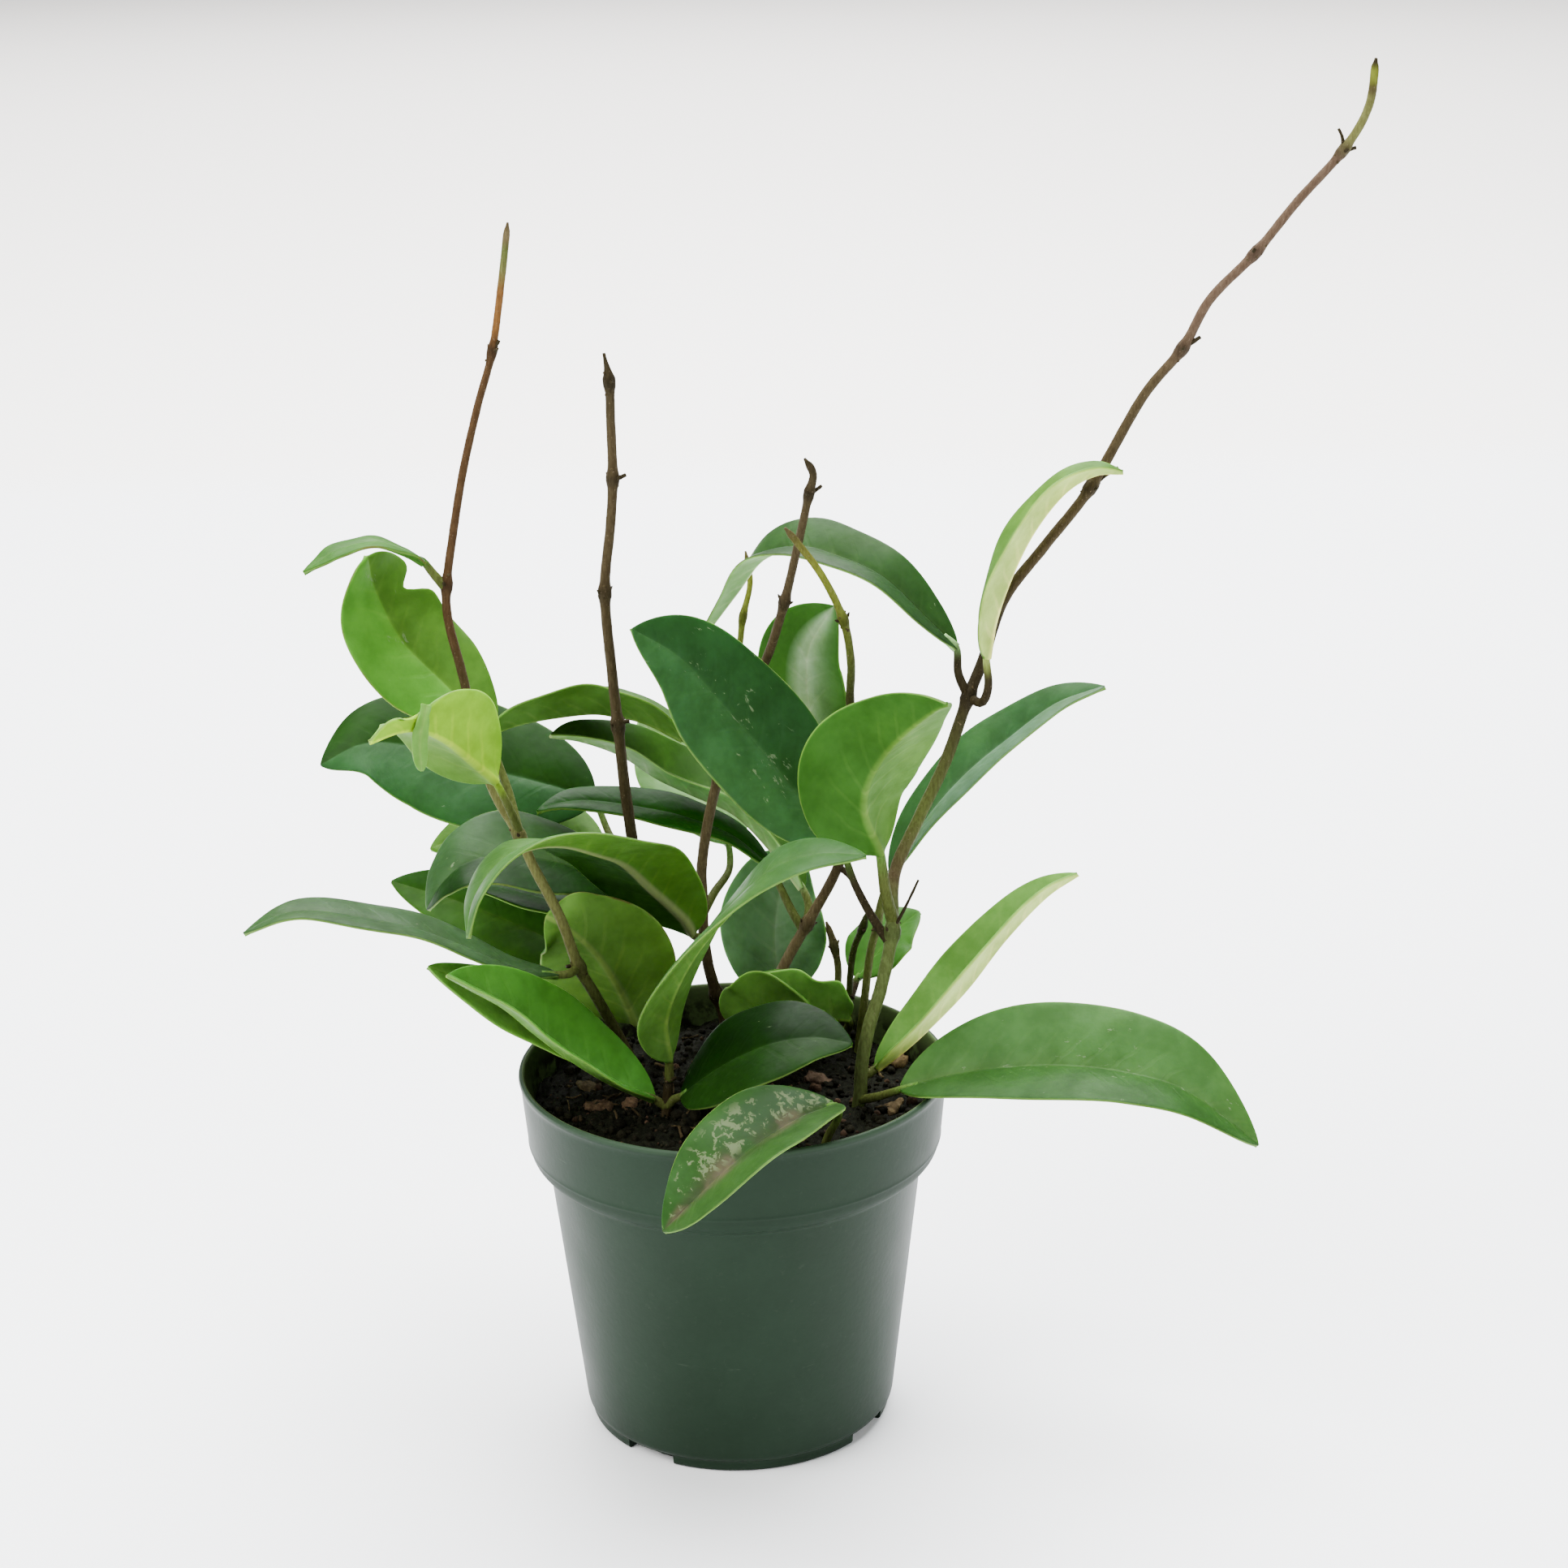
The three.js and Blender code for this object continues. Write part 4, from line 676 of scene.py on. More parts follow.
def make_piece(node, parts, materials):
    """One mesh object for a CAD node, with its parts' skins as attributes of its points."""
    faces = []
    face_materials = []
    start = 0
    for part in parts:
        faces += [tuple(index + start for index in face) for face in part.faces]
        face_materials += [part.material] * len(part.faces)
        start += len(part.points)
    name = node + "_fine"
    mesh = bpy.data.meshes.new(name)
    mesh.from_pydata((np.vstack([part.points for part in parts]) * MM).tolist(), [], faces)
    mesh.polygons.foreach_set("material_index", face_materials)
    mesh.polygons.foreach_set("use_smooth", [True] * len(faces))
    for title in ("skin", "upper_skin", "under_skin"):
        values = np.vstack([getattr(part, title) for part in parts])
        colours = np.column_stack([values, np.ones(len(values))])
        mesh.attributes.new(title, "FLOAT_COLOR", "POINT").data.foreach_set("color", colours.ravel())
    for title in ("leaf_map", "leaf_form", "leaf_marks"):
        values = np.vstack([getattr(part, title) for part in parts])
        mesh.attributes.new(title, "FLOAT_VECTOR", "POINT").data.foreach_set("vector", values.ravel())
    for material in materials:
        mesh.materials.append(material)
    mesh.update()
    return add_object(name, mesh)


def settle(piece, node):
    """Lets a piece stand for its CAD node and move with the plant."""
    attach(piece, "root")
    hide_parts(node)


def wall_faces(first, rings, sides):
    """Four-sided faces between rings of points that follow one another from a first point."""
    faces = []
    for start in range(first, first + (rings - 1) * sides, sides):
        for k in range(sides):
            following = (k + 1) % sides
            faces.append((start + k, start + following, start + following + sides, start + k + sides))
    return faces


def tube_part(curve, shares, radii, sides, skin=TONES["bark"], material=0):
    """A round closed tube along a curve, with a radius for each share or for each point of each ring."""
    radii = np.broadcast_to(np.reshape(radii, (len(shares), -1)), (len(shares), sides))
    angles = np.linspace(0, 2 * np.pi, sides, endpoint=False)
    normal = np.array([1, 0.2, 0.1])
    rings = []
    for centre, tangent, radius in zip(curve.at(shares), curve.tangent(shares), radii):
        normal = unit(normal - tangent * np.dot(normal, tangent))
        across = np.cross(tangent, normal)
        reach = np.outer(np.cos(angles), normal) + np.outer(np.sin(angles), across)
        rings.append(centre + reach * radius[:, None])
    faces = wall_faces(0, len(rings), sides)
    last = (len(rings) - 1) * sides
    faces.append(tuple(reversed(range(sides))))
    faces.append(tuple(range(last, last + sides)))
    return Part(np.vstack(rings), faces, skin, material)


def lathe_part(profile, sides):
    """A closed turned solid. The profile runs from the axis to the axis."""
    turns = np.linspace(0, 2 * np.pi, sides, endpoint=False)
    rings = profile[1:-1]
    points = [(0, 0, profile[0][1])]
    for radius, height in rings:
        points += [(radius * math.cos(turn), radius * math.sin(turn), height) for turn in turns]
    points.append((0, 0, profile[-1][1]))
    last = 1 + (len(rings) - 1) * sides
    faces = [(0, 1 + (k + 1) % sides, 1 + k) for k in range(sides)]
    faces += wall_faces(1, len(rings), sides)
    faces += [(last + k, last + (k + 1) % sides, len(points) - 1) for k in range(sides)]
    return Part(points, faces)


def points_and_faces(shape):
    """Reads a bmesh shape and frees it."""
    points = np.array([vertex.co for vertex in shape.verts])
    faces = [tuple(vertex.index for vertex in face.verts) for face in shape.faces]
    shape.free()
    return points, faces


def ball_part(centre, radius, random, subdivisions=1):
    """A small uneven lump."""
    shape = bmesh.new()
    bmesh.ops.create_icosphere(shape, subdivisions=subdivisions, radius=1)
    points, faces = points_and_faces(shape)
    stretch = random.uniform(*LUMP_STRETCHES, 3)
    uneven = random.uniform(*LUMP_UNEVENNESS, (len(points), 1))
    return Part(np.asarray(centre) + points * stretch * uneven * radius, faces)


def rough_block(size, random):
    """Points and faces of an uneven block with softened corners."""
    shape = bmesh.new()
    bmesh.ops.create_cube(shape, size=1)
    bmesh.ops.subdivide_edges(shape, edges=shape.edges, cuts=CHIP_CUTS, use_grid_fill=True)
    points, faces = points_and_faces(shape)
    core, corner = BLOCK_CORNERS
    points = points / (core + corner * np.linalg.norm(points, axis=1, keepdims=True) ** 2)
    points = points * np.array(size)
    points += random.normal(0, CHIP_ROUGHNESS / 3, points.shape)
    return points, faces


# Leaves
def blade_axes(leaf, curve, place):
    """The points of a blade's midrib, with the ways to its right and up at each of them."""
    tangent = curve.tangent(place)
    ends = (np.array(leaf["side"], float), np.array(leaf.get("tip_side", leaf["side"]), float))
    side = between(ends, place[:, None])
    side = unit(side - tangent * np.sum(side * tangent, axis=1, keepdims=True))
    return curve.at(place), side, np.cross(side, tangent)


def half_widths(leaf, place):
    """Half the width of a blade at shares of its midrib."""
    widest = leaf.get("widest", WIDEST_AT)
    rise = np.clip(place, 0, 1) / widest
    fall = np.clip(1 - place, 0, 1) / (1 - widest)
    shape = rise ** BASE_FULLNESS * fall ** (BASE_FULLNESS * (1 - widest) / widest)
    return np.maximum(leaf["width"] / 2 * shape, between(LEAST_HALF_WIDTHS, place))[:, None]


def bite_left(leaf, column, along):
    """The share of a blade's width that is left beside a notch."""
    bite = np.ones((BLADE_STATIONS, column.size))
    if "notch" not in leaf:
        return bite
    notch = leaf["notch"]
    dip = np.exp(-(((along - notch["at"]) / notch["length"]) ** 2))
    return np.where(column * notch["edge"] > 0, 1 - notch["depth"] * dip * np.abs(column), bite)


def both_faces(upper, lower):
    """Rows for the points of a blade: at each station the upper face's, then the lower face's backwards."""
    return np.concatenate([upper, lower[:, ::-1]], axis=1).reshape(-1, 3)


def blade_faces(columns):
    """The faces of a blade: its two sides and its closed ends."""
    ring = 2 * columns
    last = (BLADE_STATIONS - 1) * ring
    faces = wall_faces(0, BLADE_STATIONS, ring)
    for c in range(columns - 1):
        faces.append((c, ring - 1 - c, ring - 2 - c, c + 1))
        faces.append((last + c, last + c + 1, last + ring - 2 - c, last + ring - 1 - c))
    return faces


def face_skin(leaf, face, across):
    """The skin of one face of a blade, which may differ on its right-hand half, partly as painted light and
    shade.
    """
    left = leaf.get(face, UNDER_TONE)
    right = leaf.get(face + "_right", left)
    share = smooth_step(-HALF_BLEND, HALF_BLEND, across)
    return np.array(TONES[left]) * (1 - share) + np.array(TONES[right]) * share


def paint_blade(part, leaf, column, across_m, along, length, seed):
    """Gives a blade its skins and marks, and notes where each of its points lies on the leaf."""
    blank = np.zeros(across_m.shape)
    places = np.stack([across_m, blank + along * length, blank + seed], axis=-1)
    part.leaf_map = both_faces(places, places)
    forms = [np.stack([blank + column, blank + along, blank + face], axis=-1) for face in (0, 1)]
    part.leaf_form = both_faces(*forms)
    across = part.leaf_form[:, :1]
    part.upper_skin = face_skin(leaf, "upper", across)
    part.under_skin = face_skin(leaf, "under", across)
    # Painted sheen: a pale band that starts sharply across the upper face and fades towards one margin
    if "painted_sheen" in leaf:
        tone, sheen_start, sheen_reach = leaf["painted_sheen"]
        past = across - sheen_start
        painted_sheen = smooth_step(-SHEEN_BLEND, SHEEN_BLEND, past) * np.exp(-((past / sheen_reach) ** 2))
        part.upper_skin = part.upper_skin * (1 - painted_sheen) + np.array(TONES[tone]) * painted_sheen
    part.leaf_marks[:] = (leaf.get("flecks", FLECKS), leaf.get("brown", 0), leaf.get("pale_rib", 0))


def blade_part(leaf, random):
    """A closed blade with a rounded margin, a groove along its upper face and a rib along its lower face."""
    curve = SmoothCurve(leaf["rib"])
    even = np.linspace(0, 1, BLADE_STATIONS)
    place = (even + (1 - np.cos(np.pi * even)) / 2) / 2
    centre, side, up = blade_axes(leaf, curve, place)
    half = half_widths(leaf, place)
    column = np.array([-c for c in reversed(HALF_COLUMNS)] + [0] + list(HALF_COLUMNS))[None, :]
    reach = np.abs(column)
    along = place[:, None]
    bite = bite_left(leaf, column, along)

    fold = math.radians(leaf["fold"])
    valley = np.sqrt(reach ** 2 + FOLD_ROUNDING ** 2) - FOLD_ROUNDING
    phase = np.where(column < 0, random.uniform(0, 1), random.uniform(0, 1))
    wave = leaf.get("wave", MARGIN_WAVE) * reach ** 3 * np.sin(2 * np.pi * (WAVES_PER_BLADE * along + phase))
    lateral = column * half * math.cos(fold) * bite
    rise = valley * half * math.sin(fold) * bite + HALF_BULGE * half * reach * (1 - reach)
    rise = rise + wave * np.sin(np.pi * along)
    middle = centre[:, None] + side[:, None] * lateral[..., None] + up[:, None] * rise[..., None]
    outward = unit(np.cross(np.gradient(middle, axis=1), np.gradient(middle, axis=0)))

    margin = np.clip((reach - (1 - MARGIN_SHARE)) / MARGIN_SHARE, 0, 1)
    thickness = between(BLADE_THICKNESS, reach) * np.sqrt(1 - MARGIN_ROUNDING * margin ** 2)
    groove = GROOVE_DEPTH * (1 - GROOVE_TAPER * along) * np.exp(-((lateral / GROOVE_WIDTH) ** 2))
    rib = RIB_HEIGHT * (1 - RIB_TAPER * along) * np.exp(-((lateral / RIB_WIDTH) ** 2))
    upper = middle + outward * (thickness / 2 - groove)[..., None]
    lower = middle - outward * (thickness / 2 + rib)[..., None]
    part = Part(both_faces(upper, lower), blade_faces(column.size))
    paint_blade(part, leaf, column, column * half * MM, along, curve.length * MM, random.uniform(0, 50))
    return part


def stalk_part(leaf):
    """The stalk of a leaf, thick at the stem and running a little way into the blade."""
    seat = SmoothCurve(leaf["rib"]).at(STALK_SEAT)[0]
    shares = np.linspace(0, 1, STALK_STEPS)
    radii = leaf.get("stalk_radius", STALK_RADIUS) * (1 - STALK_TAPER * shares)
    curve = SmoothCurve([*leaf["stalk"], leaf["rib"][0], seat])
    part = tube_part(curve, shares, radii, STALK_SIDES, material=1)
    blend = smooth_step(*STALK_GREENING, np.repeat(shares, STALK_SIDES))[:, None]
    young = np.array(TONES[leaf.get("stalk_tone", "moss")])
    part.skin = young * (1 - blend) + np.array(TONES[leaf.get("under", UNDER_TONE)]) * blend
    return part


def build_leaves(leaf_materials, bark):
    random = np.random.default_rng(LEAF_SEED)
    for name, leaf in LEAVES.items():
        parts = [blade_part(leaf, random), stalk_part(leaf)]
        if name == "leaf_left_yellow":
            parts.append(blade_part(FOLDED_MARGIN, random))
        settle(make_piece(name, parts, [leaf_materials[SLOTS[name]], bark]), name)


# Stems
def stem_width(curve, radius, shares, tip_reach=TIP_REACH):
    """The plain radius of a stem, which narrows over the last few millimetres of its tip."""
    to_tip = (1 - shares) * curve.length
    return between(radius, shares) * (1 - TIP_TAPER * (1 - smooth_step(0, tip_reach, to_tip)))


def stem_tube(path, radius, nodes, skin, random, tip_reach=TIP_REACH):
    """The curve and the bark of a stem, which swells and darkens at its nodes."""
    curve = SmoothCurve(path)
    shares = np.linspace(0, 1, max(int(curve.length / STEM_STEP), LEAST_RINGS))
    swell = np.zeros(len(shares))
    for node in nodes:
        away = (shares - curve.share_of_point(node)) * curve.length
        bulge = NODE_SWELL * np.exp(-((away / NODE_LENGTH) ** 2))
        swell = np.maximum(swell, bulge - NODE_PINCH * np.exp(-((away / PINCH_LENGTH) ** 2)))
    uneven = 1 + BARK_RELIEF * random.uniform(-1, 1, (len(shares), STEM_SIDES)) * 0.5
    drift = 1 + BARK_RELIEF / 2 * np.sin(shares * curve.length * BARK_DRIFT + random.uniform(0, 6))
    plain = stem_width(curve, radius, shares, tip_reach)
    part = tube_part(curve, shares, (plain * (1 + swell) * drift)[:, None] * uneven, STEM_SIDES)
    tones = np.array([TONES[tone] for _, tone in skin])
    colours = [np.interp(shares, [place for place, _ in skin], channel) for channel in tones.T]
    colours = np.stack(colours, axis=1) * (1 - NODE_DARKENING * swell / NODE_SWELL)[:, None]
    part.skin = np.repeat(colours, STEM_SIDES, axis=0)
    return curve, part


def fuzz_part(curve, radius, random, tip_reach):
    """The fine short hairs of a stem."""
    count = int(curve.length * HAIRS_PER_MM)
    shares = random.uniform(*HAIR_SPAN, count)
    along = curve.tangent(shares)
    away = unit(np.cross(along, random.normal(size=(count, 3))))
    beside = np.cross(along, away)
    width = stem_width(curve, radius, shares, tip_reach)[:, None]
    root = curve.at(shares) + away * width * HAIR_SEAT
    length = random.uniform(*HAIR_LENGTHS, (count, 1))
    lean = random.uniform(*HAIR_LEANS, (count, 1))
    tip = root + away * (width * (1 - HAIR_SEAT) + length) + along * length * lean
    turns = [k * 2 * math.pi / 3 for k in range(3)]
    foot = [root + HAIR_RADIUS * (along * math.cos(turn) + beside * math.sin(turn)) for turn in turns]
    points = np.stack([*foot, tip], axis=1).reshape(-1, 3)
    starts = range(0, len(points), 4)
    faces = [tuple(start + corner for corner in face) for start in starts for face in HAIR_FACES]
    return Part(points, faces, HAIR_COLOUR)


def spur_part(start, end, radius, random):
    """A short dry stub or flower stalk, a little bent."""
    start = np.array(start, float)
    end = np.array(end, float)
    middle = (start + end) / 2 + random.uniform(-SPUR_BEND, SPUR_BEND, 3)
    shares = np.linspace(0, 1, SPUR_STEPS)
    radii = radius * (1 - SPUR_TAPER * shares) * random.uniform(*SPUR_UNEVENNESS, SPUR_STEPS)
    return tube_part(SmoothCurve([start, middle, end]), shares, radii, SPUR_SIDES, TONES["umber"])


def node_parts(curve, share, radius, random):
    """A pair of small dry buds, one on each side of a node, and the root bumps near it."""
    centre = curve.at(share)[0]
    tangent = curve.tangent(share)[0]
    width = between(radius, share)
    across = unit(np.cross(tangent, random.uniform(-1, 1, 3)))
    parts = []
    for side in (-1, 1):
        middle = centre + across * side * width * BUD_BEND + tangent * BUD_LIFT
        end = centre + across * side * (width + BUD_LENGTH) + tangent * BUD_LENGTH
        bud = SmoothCurve([centre, middle, end])
        shares = np.linspace(0, 1, len(BUD_RADII))
        parts.append(tube_part(bud, shares, BUD_RADII, BUD_SIDES, TONES["umber"]))
    for _ in range(BUMPS_PER_NODE):
        place = np.clip(share + random.uniform(-BUMP_REACH, BUMP_REACH) / curve.length, 0, 1)
        away = unit(np.cross(curve.tangent(place)[0], random.uniform(-1, 1, 3)))
        parts.append(ball_part(curve.at(place)[0] + away * between(radius, place), BUMP_RADIUS, random))
    return parts


def build_stems(bark):
    random = np.random.default_rng(STEM_SEED)
    for name, stem in STEMS.items():
        path, radius, nodes = stem["path"], stem["radius"], stem["nodes"]
        tip_reach = DRY_TIP_REACH if name == "vine_mid_left" else TIP_REACH
        curve, tube = stem_tube(path, radius, nodes, stem["skin"], random, tip_reach)
        parts = [tube, fuzz_part(curve, radius, random, tip_reach)]
        for start, end, spur_radius in stem.get("spurs", ()):
            parts.append(spur_part(path[start], end, spur_radius, random))
        if "shoot" in stem:
            shoot = stem["shoot"]
            parts.append(stem_tube(shoot["path"], shoot["radius"], (SHOOT_NODE,), SHOOT_SKIN, random)[1])
        for node in nodes:
            parts += node_parts(curve, curve.share_of_point(node), radius, random)
        settle(make_piece(name, parts, [bark]), name)


# Pot
def rounded(profile, cut):
    """A profile with each inner corner cut into three points."""
    points = [np.array(point, float) for point in profile]
    smooth = [points[0]]
    for before, corner, after in zip(points, points[1:], points[2:]):
        cuts = []
        for way in (before - corner, after - corner):
            length = np.linalg.norm(way)
            cuts.append(way / length * min(cut, length * ROUNDING_SHARE))
        smooth += [corner + cuts[0], corner + (cuts[0] + cuts[1]) / 4, corner + cuts[1]]
    return smooth + [points[-1]]


def slot_cutter(turn):
    """A block that cuts a drain slot out of the foot of the pot."""
    shape = bmesh.new()
    bmesh.ops.create_cube(shape, size=1)
    scale = Matrix.Diagonal((SLOT_DEPTH * 2 * MM, SLOT_LENGTH * MM, SLOT_HEIGHT * 2 * MM, 1))
    place = Matrix.Rotation(math.radians(turn), 4, "Z") @ Matrix.Translation((FOOT_RADIUS * MM, 0, 0))
    bmesh.ops.transform(shape, matrix=place @ scale, verts=shape.verts)
    mesh = bpy.data.meshes.new("slot")
    shape.to_mesh(mesh)
    shape.free()
    return add_object("slot", mesh)


def build_pot(plastic):
    pot = make_piece("pot", [lathe_part(rounded(POT_OUTLINE, POT_ROUNDING), POT_SIDES)], [plastic])
    cutters = [slot_cutter(turn) for turn in SLOT_TURNS]
    for cutter in cutters:
        cut = pot.modifiers.new("slot", "BOOLEAN")
        cut.object = cutter
        cut.operation = "DIFFERENCE"
        cut.solver = "EXACT"
    cut_mesh = bpy.data.meshes.new_from_object(pot.evaluated_get(bpy.context.evaluated_depsgraph_get()))
    pot.modifiers.clear()
    pot.data = cut_mesh
    for cutter in cutters:
        bpy.data.objects.remove(cutter)
    pot.data.polygons.foreach_set("use_smooth", [True] * len(pot.data.polygons))
    pot.data.set_sharp_from_angle(angle=math.radians(SHARP_ANGLE))
    settle(pot, "pot")


# Potting mix
def soil_height(x, y):
    """The height of the mix: a low dome with the same lumps as in the solid."""
    reach = np.hypot(x, y) / RIM_RADIUS
    dome = SOIL_DOME * (1 - reach * reach)
    wide_x, wide_y, small_x, small_y = SOIL_LUMPS
    wide = np.sin(x * wide_x + LUMP_SHIFT) * np.cos(y * wide_y)
    small = np.sin(x * small_x - y * small_y)
    return SOIL_LEVEL + dome + SOIL_RELIEF * (wide + SMALL_LUMP_SHARE * small)


def place_on_soil(random, margin):
    """A random place on the mix, at least a margin from its edge."""
    reach = (SOIL_EDGE_RADIUS - margin) * math.sqrt(random.random())
    turn = random.uniform(0, 2 * math.pi)
    return reach * math.cos(turn), reach * math.sin(turn)


def soil_part(random):
    """The mix from its crumbly top down the inside of the pot."""
    gap = WALL + CLEARANCE
    sides = [
        (BODY_FOOT_RADIUS - gap - 1, gap), (BODY_FOOT_RADIUS - gap, FOOT_HEIGHT + 0.5),
        (SHOULDER_RADIUS - gap - 0.1, SHOULDER_HEIGHT), (COLLAR_FOOT_RADIUS - gap - 0.2, COLLAR_FOOT_HEIGHT),
    ]
    rings = [(radius, SOIL_LEVEL) for radius in np.linspace(SOIL_EDGE_RADIUS, SOIL_CORE_RADIUS, SOIL_RINGS)]
    part = lathe_part([(0, gap), *sides, *rings, (0, SOIL_LEVEL)], SOIL_SIDES)
    top = slice(1 + len(sides) * SOIL_SIDES, len(part.points))
    x, y = part.points[top, 0], part.points[top, 1]
    height = soil_height(x, y)
    bends, pitches = RIPPLE_BENDS, RIPPLE_PITCHES
    for size, depth in RIPPLES:
        shifts = random.uniform(*RIPPLE_SHIFTS, 4)
        ripple = np.sin(x * size + bends[0] * np.sin(y * size * pitches[0] + shifts[0]) + shifts[1])
        across = y * size * pitches[1] + bends[1] * np.sin(x * size * pitches[2] + shifts[2])
        ripple = ripple * np.sin(across + shifts[3])
        height = height + depth * ripple
    part.points[top, 2] = height
    part.skin = np.array(SOIL_SKIN) * random.uniform(*SOIL_SHADES, (len(part.points), 1))
    return part


def crumb_part(random):
    """A loose crumb of peat or bark on the top of the mix."""
    radius = between(CRUMB_RADII, random.random() ** 3)
    x, y = place_on_soil(random, CRUMB_MARGIN)
    subdivisions = 2 if radius > FINE_CRUMB_RADIUS else 1
    crumb = ball_part((x, y, soil_height(x, y) + CRUMB_SEAT * radius), radius, random, subdivisions)
    tone = PEAT_CRUMB_SKIN if random.random() < PEAT_SHARE else BARK_CRUMB_SKIN
    crumb.skin[:] = np.array(tone) * random.uniform(*CRUMB_SHADES)
    return crumb


def twig_part(random):
    """A short bit of root or fibre lying on the mix."""
    x, y = place_on_soil(random, TWIG_MARGIN)
    heading = random.uniform(0, 2 * math.pi)
    length = random.uniform(*TWIG_LENGTHS)
    path = []
    for side in (-0.5, 0, 0.5):
        px = x + side * length * math.cos(heading)
        py = y + side * length * math.sin(heading)
        path.append((px, py, soil_height(px, py) + random.uniform(*TWIG_HEIGHTS)))
    radii = random.uniform(*TWIG_RADII) * random.uniform(*TWIG_UNEVENNESS, TWIG_STEPS)
    part = tube_part(SmoothCurve(path), np.linspace(0, 1, TWIG_STEPS), radii, TWIG_SIDES)
    part.skin *= random.uniform(*TWIG_SHADES)
    return part


def chip_part(chip, random):
    """A splintered bark chip, half sunk in the mix."""
    points, faces = rough_block(chip["size"], random)
    narrowing = np.clip(points[:, :1] / chip["size"][0] * random.choice((-1, 1)) + CHIP_TAPER_START, 0, 1)
    points[:, 1:] *= 1 - CHIP_TAPER * narrowing
    points += CHIP_WARP * np.sin(points[:, [1, 2, 0]] * CHIP_WAVES + random.uniform(0, 6, 3))
    turn = Matrix.Rotation(math.radians(chip["turn"]), 3, "Z")
    turn = turn @ Matrix.Rotation(math.radians(chip["tilt"]), 3, "Y")
    x, y = chip["at"]
    points = points @ np.array(turn).T + np.array((x, y, soil_height(x, y) + CHIP_SINK))
    shade = random.uniform(*CHIP_SHADES, (len(points), 1))
    return Part(points, faces, np.array(chip["tone"]) * CHIP_SHADE * shade)


def slot_shadow_part(turn, random):
    """A near-black block in a drain slot that stands for the shadow of the dark space under the pot: painted
    shadow.
    """
    points, faces = rough_block((SLOT_SHADOW_DEPTH, SLOT_LENGTH, SLOT_HEIGHT), random)
    place = np.array(Matrix.Rotation(math.radians(turn), 3, "Z"))
    middle = (FOOT_RADIUS - SLOT_DEPTH + SLOT_SHADOW_DEPTH / 2, 0, SLOT_HEIGHT / 2 + CLEARANCE)
    return Part((points * SLOT_SHADOW_SCALE + np.array(middle)) @ place.T, faces, SLOT_SHADOW_SKIN)


def build_soil(peat):
    random = np.random.default_rng(SOIL_SEED)
    parts = [soil_part(random)]
    parts += [crumb_part(random) for _ in range(CRUMB_COUNT)]
    parts += [twig_part(random) for _ in range(TWIG_COUNT)]
    parts += [chip_part(chip, random) for chip in CHIPS]
    # Painted shadow in the drain slots, built as part of the soil piece
    parts += [slot_shadow_part(turn, random) for turn in SLOT_TURNS]
    settle(make_piece("soil", parts, [peat]), "soil")


# Materials
class Signal:
    """The output of a shader node, which takes part in sums like a number."""

    def __init__(self, shader, socket):
        self.shader = shader
        self.socket = socket

    def __add__(self, other):
        return self.shader.math("ADD", self, other)

    def __sub__(self, other):
        return self.shader.math("SUBTRACT", self, other)

    def __rsub__(self, other):
        return self.shader.math("SUBTRACT", other, self)

    def __mul__(self, other):
        return self.shader.math("MULTIPLY", self, other)

    def __truediv__(self, other):
        return self.shader.math("DIVIDE", self, other)

    def __abs__(self):
        return self.shader.math("ABSOLUTE", self)

    def stretch(self, low, high, to_low=0, to_high=1):
        """This value eased from one range into another."""
        inputs = dict(enumerate((self, low, high, to_low, to_high)))
        return self.shader.add("MapRange", inputs, interpolation_type="SMOOTHSTEP")

    def mix(self, share, other):
        """This colour with a share of another one, which may be the name of a tone."""
        return self.shader.mix(share, self, other)

    def tint(self, share, tone):
        return self.shader.mix(share, self, tone, "MULTIPLY")

    def noise(self, name):
        """A noise from NOISES at this place."""
        titles = ("Scale", "Detail", "Roughness", "Distortion")
        return self.shader.add("TexNoise", {"Vector": self, **dict(zip(titles, NOISES[name]))})

    def split(self):
        node = self.shader.add("SeparateXYZ", {0: self}).socket.node
        return [Signal(self.shader, socket) for socket in node.outputs]

    def bump(self, strength, distance):
        return self.shader.add("Bump", {"Height": self, "Strength": strength, "Distance": distance})


class Shader:
    """A small helper that adds linked nodes to a material."""

    def __init__(self, name):
        self.material = bpy.data.materials.new(name)
        self.material.use_nodes = True
        self.tree = self.material.node_tree

    def feed(self, node, inputs):
        """Links or sets the inputs of a node. A colour may be the name of its tone."""
        for title, value in inputs.items():
            if isinstance(value, Signal):
                self.tree.links.new(value.socket, node.inputs[title])
            else:
                node.inputs[title].default_value = (*TONES[value], 1) if isinstance(value, str) else value

    def add(self, kind, inputs, output=0, **settings):
        """Adds a node with its settings and inputs, and gives one of its outputs."""
        node = self.tree.nodes.new("ShaderNode" + kind)
        for title, value in settings.items():
            setattr(node, title, value)
        self.feed(node, inputs)
        return Signal(self, node.outputs[output])

    def attribute(self, title, output="Color"):
        return self.add("Attribute", {}, output, attribute_name=title)

    def object_place(self):
        return self.add("TexCoord", {}, "Object")

    def math(self, operation, *values):
        return self.add("Math", dict(enumerate(values)), operation=operation)

    def mix(self, share, first, second, blend="MIX"):
        inputs = {0: share, 6: first, 7: second}
        return self.add("Mix", inputs, 2, data_type="RGBA", blend_type=blend, clamp_factor=True)

    def join(self, x, y, z):
        return self.add("CombineXYZ", {0: x, 1: y, 2: z})

    def finish(self, **sockets):
        """Sets the surface, where an underscore stands for a space, and gives the material."""
        surface = self.tree.nodes["Principled BSDF"]
        self.feed(surface, {title.replace("_", " "): value for title, value in sockets.items()})
        return self.material


